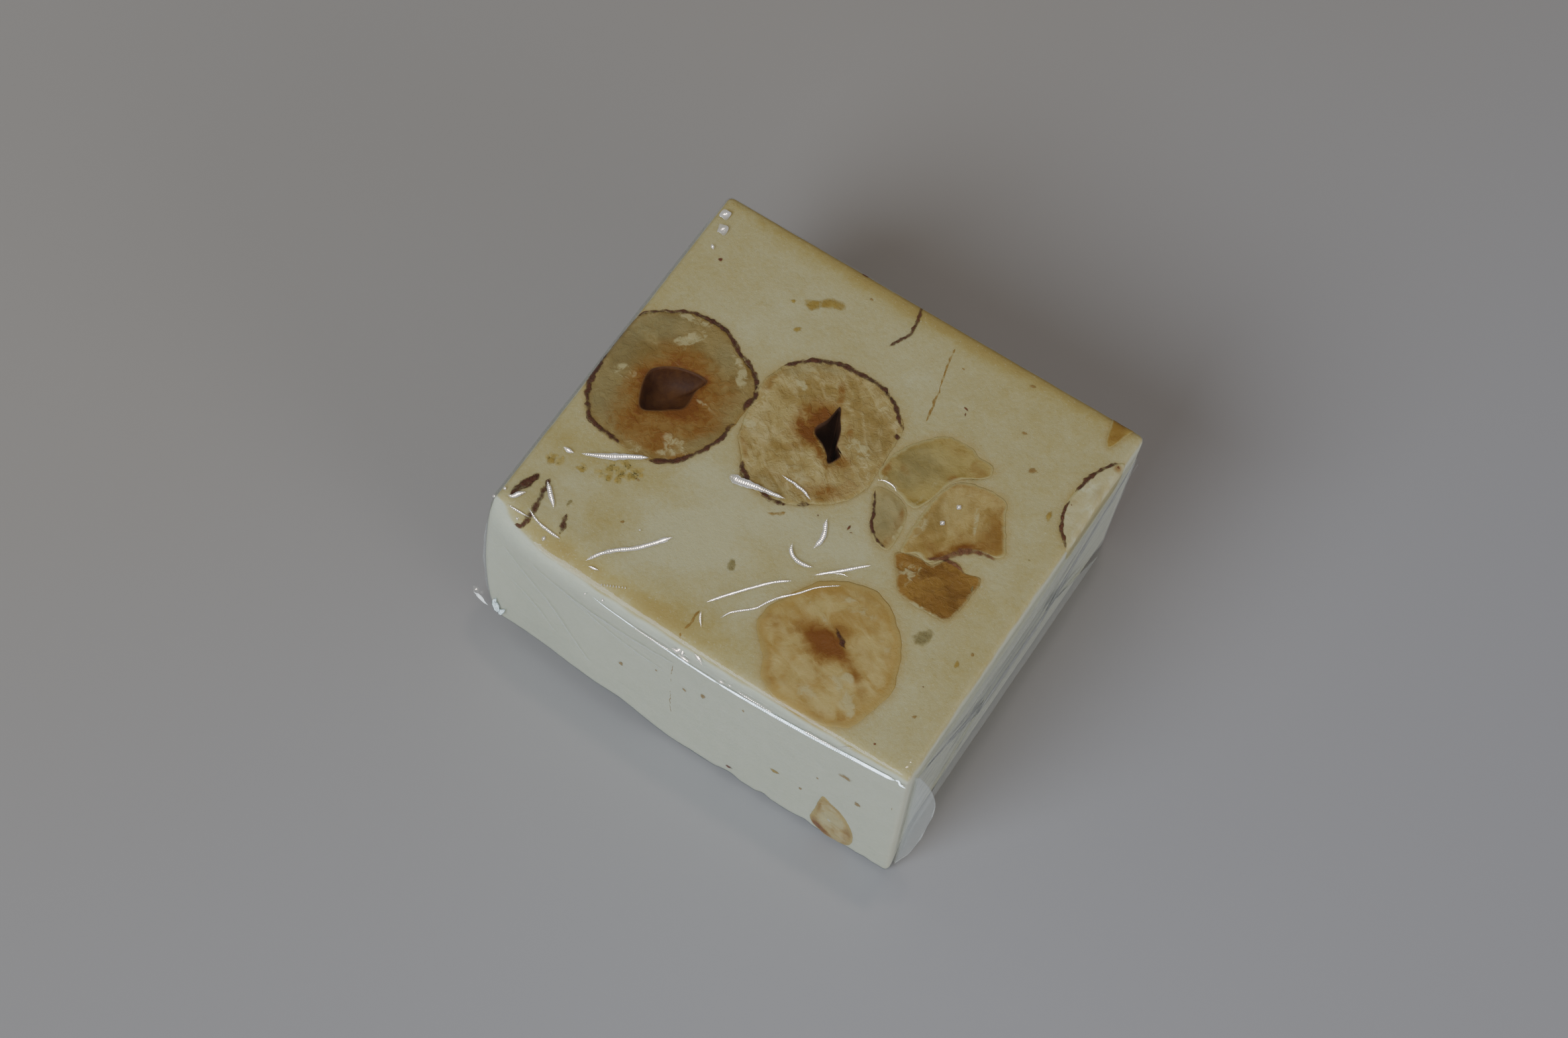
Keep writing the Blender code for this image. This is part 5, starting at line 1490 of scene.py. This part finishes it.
class NOUGAT_OT_folds(bpy.types.Operator):
    """Fold the film over the ends, and raise its ears and wall folds"""

    bl_idname = "nougat.folds"
    bl_label = "Folded ends and ears"

    def execute(self, context):
        folds, lines = [], []
        for side in (-1, 1):
            wall = end_wall(side)
            for order, (corners, stand) in enumerate(END_FOLDS):
                grid = four_corner_grid(corners, *FOLD_GRID)
                spots = np.concatenate([grid, grid[..., :1] * 0 + side * 9], axis=-1)
                wavy = 0.02 * ripple(spots, 5.0, 201 + order)
                lift = AIR + (stand + wavy) * MM
                folds.append(sheet_surface(wall(grid[..., 0], grid[..., 1], lift), FOLD_THICK))
                a, b, c, d = np.array(corners)
                for start, end in ((a, d), (b, c), (d, c)):
                    if abs(start[0] - end[0]) > 0.5:
                        lines.append(path_strip([start, (start + end) / 2, end], (0.10, 0.26, 0.12), 0.06,
                                                wall, AIR + (stand + 0.03) * MM, 0.15, 301 + order))
        dressed("film_end_folds", folds, fold_finish("folded_film", 0.05))
        # The fold edges on the end walls are pale diffuse lines: milky film with painted sheen that stays
        # light under any lamp.
        dressed("fold_creases", lines, milky_sheen_finish("fold_gleam", 0.30, (226, 230, 226)))
        for ear in EARS:
            self.ear(*ear)
        dressed("film_front_edge", pleats(WALL_LINES, WINDOW, front_wall, AIR + 0.00008, 0.06, seed=401),
                crease_finish("edge_gleam", 0.80, (0.90, 0.97, 1.0)))
        # Pale diffuse lines on the front and right walls: milky folds with painted sheen that stays light
        # under any lamp.
        parts = strips(FRONT_FOLDS, 0.02, front_wall, AIR + 0.00006, 0.15, seed=421) \
            + strips(RIGHT_FOLDS, 0.02, end_wall(1), AIR + 0.00045, 0.15, seed=441)
        dressed("film_wall_folds", parts, milky_sheen_finish("milky_fold_sheen", 0.35, (226, 230, 226)))
        gleams = pleats(CORNER_GLEAMS, WINDOW, front_wall, AIR + 0.00010, 0.05, seed=461)
        dressed("film_corner_gleam", gleams, crease_finish("corner_gleam", 0.30, (0.90, 0.98, 0.98)))
        knobs = [facet_strip(*knob, left_foot, 0.00002 * order, 0.30, 481 + order)
                 for order, knob in enumerate(KNOB_GLEAMS)]
        dressed("film_knob", knobs, crease_finish("knob_gleam", 0.22, (1.0, 0.97, 0.92)))
        return {"FINISHED"}

    def ear(self, name, side, heights, reach):
        """Ear of film: a flat bulging sheet from the corner, as wide as the reach at each height."""
        z = np.linspace(heights[0], heights[-1], EAR_GRID[0])[:, None] + np.zeros((1, EAR_GRID[1]))
        u = np.linspace(0.0, 1.0, EAR_GRID[1])
        wide = np.pad(np.interp(z[:, 0], heights, reach), 6, mode="edge")
        soft = np.convolve(wide, np.ones(13) / 13.0, mode="valid")[:, None]
        out = soft * u
        grid = end_wall(side)(np.full_like(z, -17.6), z, AIR)
        crumple = ripple(np.stack([out, z, 0.0 * z], axis=-1), 3.0, 501) * u
        grid[..., 0] += side * out * MM
        grid[..., 1] += (0.35 * u * soft - 0.5 * np.sin(math.pi * u) * soft * 0.5 + 0.14 * crumple) * MM
        dressed("film_ear_" + name, [sheet_surface(grid, EAR_THICK)],
                fold_finish("ear_film_" + name, 0.08))
        rim = grid[:, -1]
        wave = ripple(rim / MM, 4.0, 511)
        half = ((0.05 + 0.04 * wave) * MM).clip(0.00001)
        across, lift = (np.tile(np.eye(3)[axis], (len(rim), 1)) for axis in range(2))
        gleam = np.repeat((0.55 + 0.45 * wave).clip(0.0, 1.0), PLEAT_CORNERS)
        rows = lens_rows(rim, across, lift, half, half * 0.8)
        # The ear's rim is a pale diffuse line: milky film edge with painted sheen.
        dressed("film_ear_rim_" + name, [ring_solid(rows, {"gleam": (gleam, [0.0, 0.0])})],
                milky_sheen_finish("ear_rim_" + name, 0.45, (232, 232, 228)))


class NOUGAT_OT_stage(bpy.types.Operator):
    """Set the table, the lamps, the surroundings and the camera"""

    bl_idname = "nougat.stage"
    bl_label = "Stage"

    def execute(self, context):
        stage = context.scene.nougat_stage
        span = np.linspace(-TABLE_REACH, TABLE_REACH, TABLE_POINTS)
        x, y = np.meshgrid(span, span, indexing="ij")
        index = np.arange(TABLE_POINTS ** 2).reshape(TABLE_POINTS, TABLE_POINTS)
        table = new_piece("table_top", np.stack([x, y, np.zeros_like(x)], axis=-1).reshape(-1, 3),
                          quads_of(index))
        table.data.materials.append(table_finish(stage))
        world = bpy.data.worlds.new("soft_room")
        world.use_nodes = True
        back = world.node_tree.nodes["Background"]
        back.inputs["Color"].default_value = (1.0, 0.97, 0.93, 1.0)
        back.inputs["Strength"].default_value = stage.sky
        context.scene.world = world
        self.lamp("key_lamp", (-0.36, 0.24, 0.30), 0.30, stage.key_power, (1.0, 0.84, 0.62))
        self.lamp("right_fill", (0.56, -0.14, 0.13), 0.30, stage.fill_power, (0.95, 0.96, 0.98))
        self.lamp("window_lamp", WINDOW, 0.45, stage.window_power, (0.75, 0.86, 0.97))
        self.lamp("glint_lamp", LAMP, 0.045, stage.glint_power, (1.0, 0.87, 0.77))
        camera = bpy.data.cameras.new("camera")
        camera.lens = stage.lens
        camera.sensor_width = SENSOR_WIDTH
        camera.clip_start = 0.01
        eye = bpy.data.objects.new("camera", camera)
        context.scene.collection.objects.link(eye)
        axes = np.stack([CAMERA_RIGHT, CAMERA_UP, np.cross(CAMERA_RIGHT, CAMERA_UP), EYE], axis=1)
        eye.matrix_world = Matrix([*axes.tolist(), [0.0, 0.0, 0.0, 1.0]])
        context.scene.camera = eye
        return {"FINISHED"}

    def lamp(self, name, place, size, power, color):
        """Add a round area lamp that faces the piece."""
        light = bpy.data.lights.new(name, "AREA")
        light.shape = "DISK"
        light.size = size
        light.energy = power
        light.color = color
        obj = bpy.data.objects.new(name, light)
        obj.location = place
        obj.rotation_euler = (-obj.location).to_track_quat("-Z", "Y").to_euler()
        bpy.context.scene.collection.objects.link(obj)


class NOUGAT_PT_panel(bpy.types.Panel):
    """List of the nougat's operators and settings"""

    bl_idname = "NOUGAT_PT_panel"
    bl_label = "Nougat"
    bl_space_type = "VIEW_3D"
    bl_region_type = "UI"
    bl_category = "Nougat"

    def draw(self, context):
        for group in ("nougat_look", "nougat_film", "nougat_stage"):
            settings = getattr(context.scene, group)
            box = self.layout.box()
            for name in settings.__annotations__:
                box.prop(settings, name)
        for operator in OPERATORS:
            self.layout.operator(operator.bl_idname)


OPERATORS = (NOUGAT_OT_block, NOUGAT_OT_kernels, NOUGAT_OT_skins, NOUGAT_OT_crumbs,
             NOUGAT_OT_film, NOUGAT_OT_creases, NOUGAT_OT_folds, NOUGAT_OT_stage)
CLASSES = (NougatLook, FilmLook, StageLook) + OPERATORS + (NOUGAT_PT_panel,)


def register():
    for item in CLASSES:
        bpy.utils.register_class(item)
    bpy.types.Scene.nougat_look = bpy.props.PointerProperty(type=NougatLook)
    bpy.types.Scene.nougat_film = bpy.props.PointerProperty(type=FilmLook)
    bpy.types.Scene.nougat_stage = bpy.props.PointerProperty(type=StageLook)


def unregister():
    del bpy.types.Scene.nougat_look
    del bpy.types.Scene.nougat_film
    del bpy.types.Scene.nougat_stage
    for item in reversed(CLASSES):
        bpy.utils.unregister_class(item)


def main():
    """Build every piece and the stage."""
    register()
    bpy.ops.nougat.block()
    bpy.ops.nougat.kernels()
    bpy.ops.nougat.skins()
    bpy.ops.nougat.crumbs()
    bpy.ops.nougat.film()
    bpy.ops.nougat.creases()
    bpy.ops.nougat.folds()
    bpy.ops.nougat.stage()


if __name__ == "__main__":
    main()
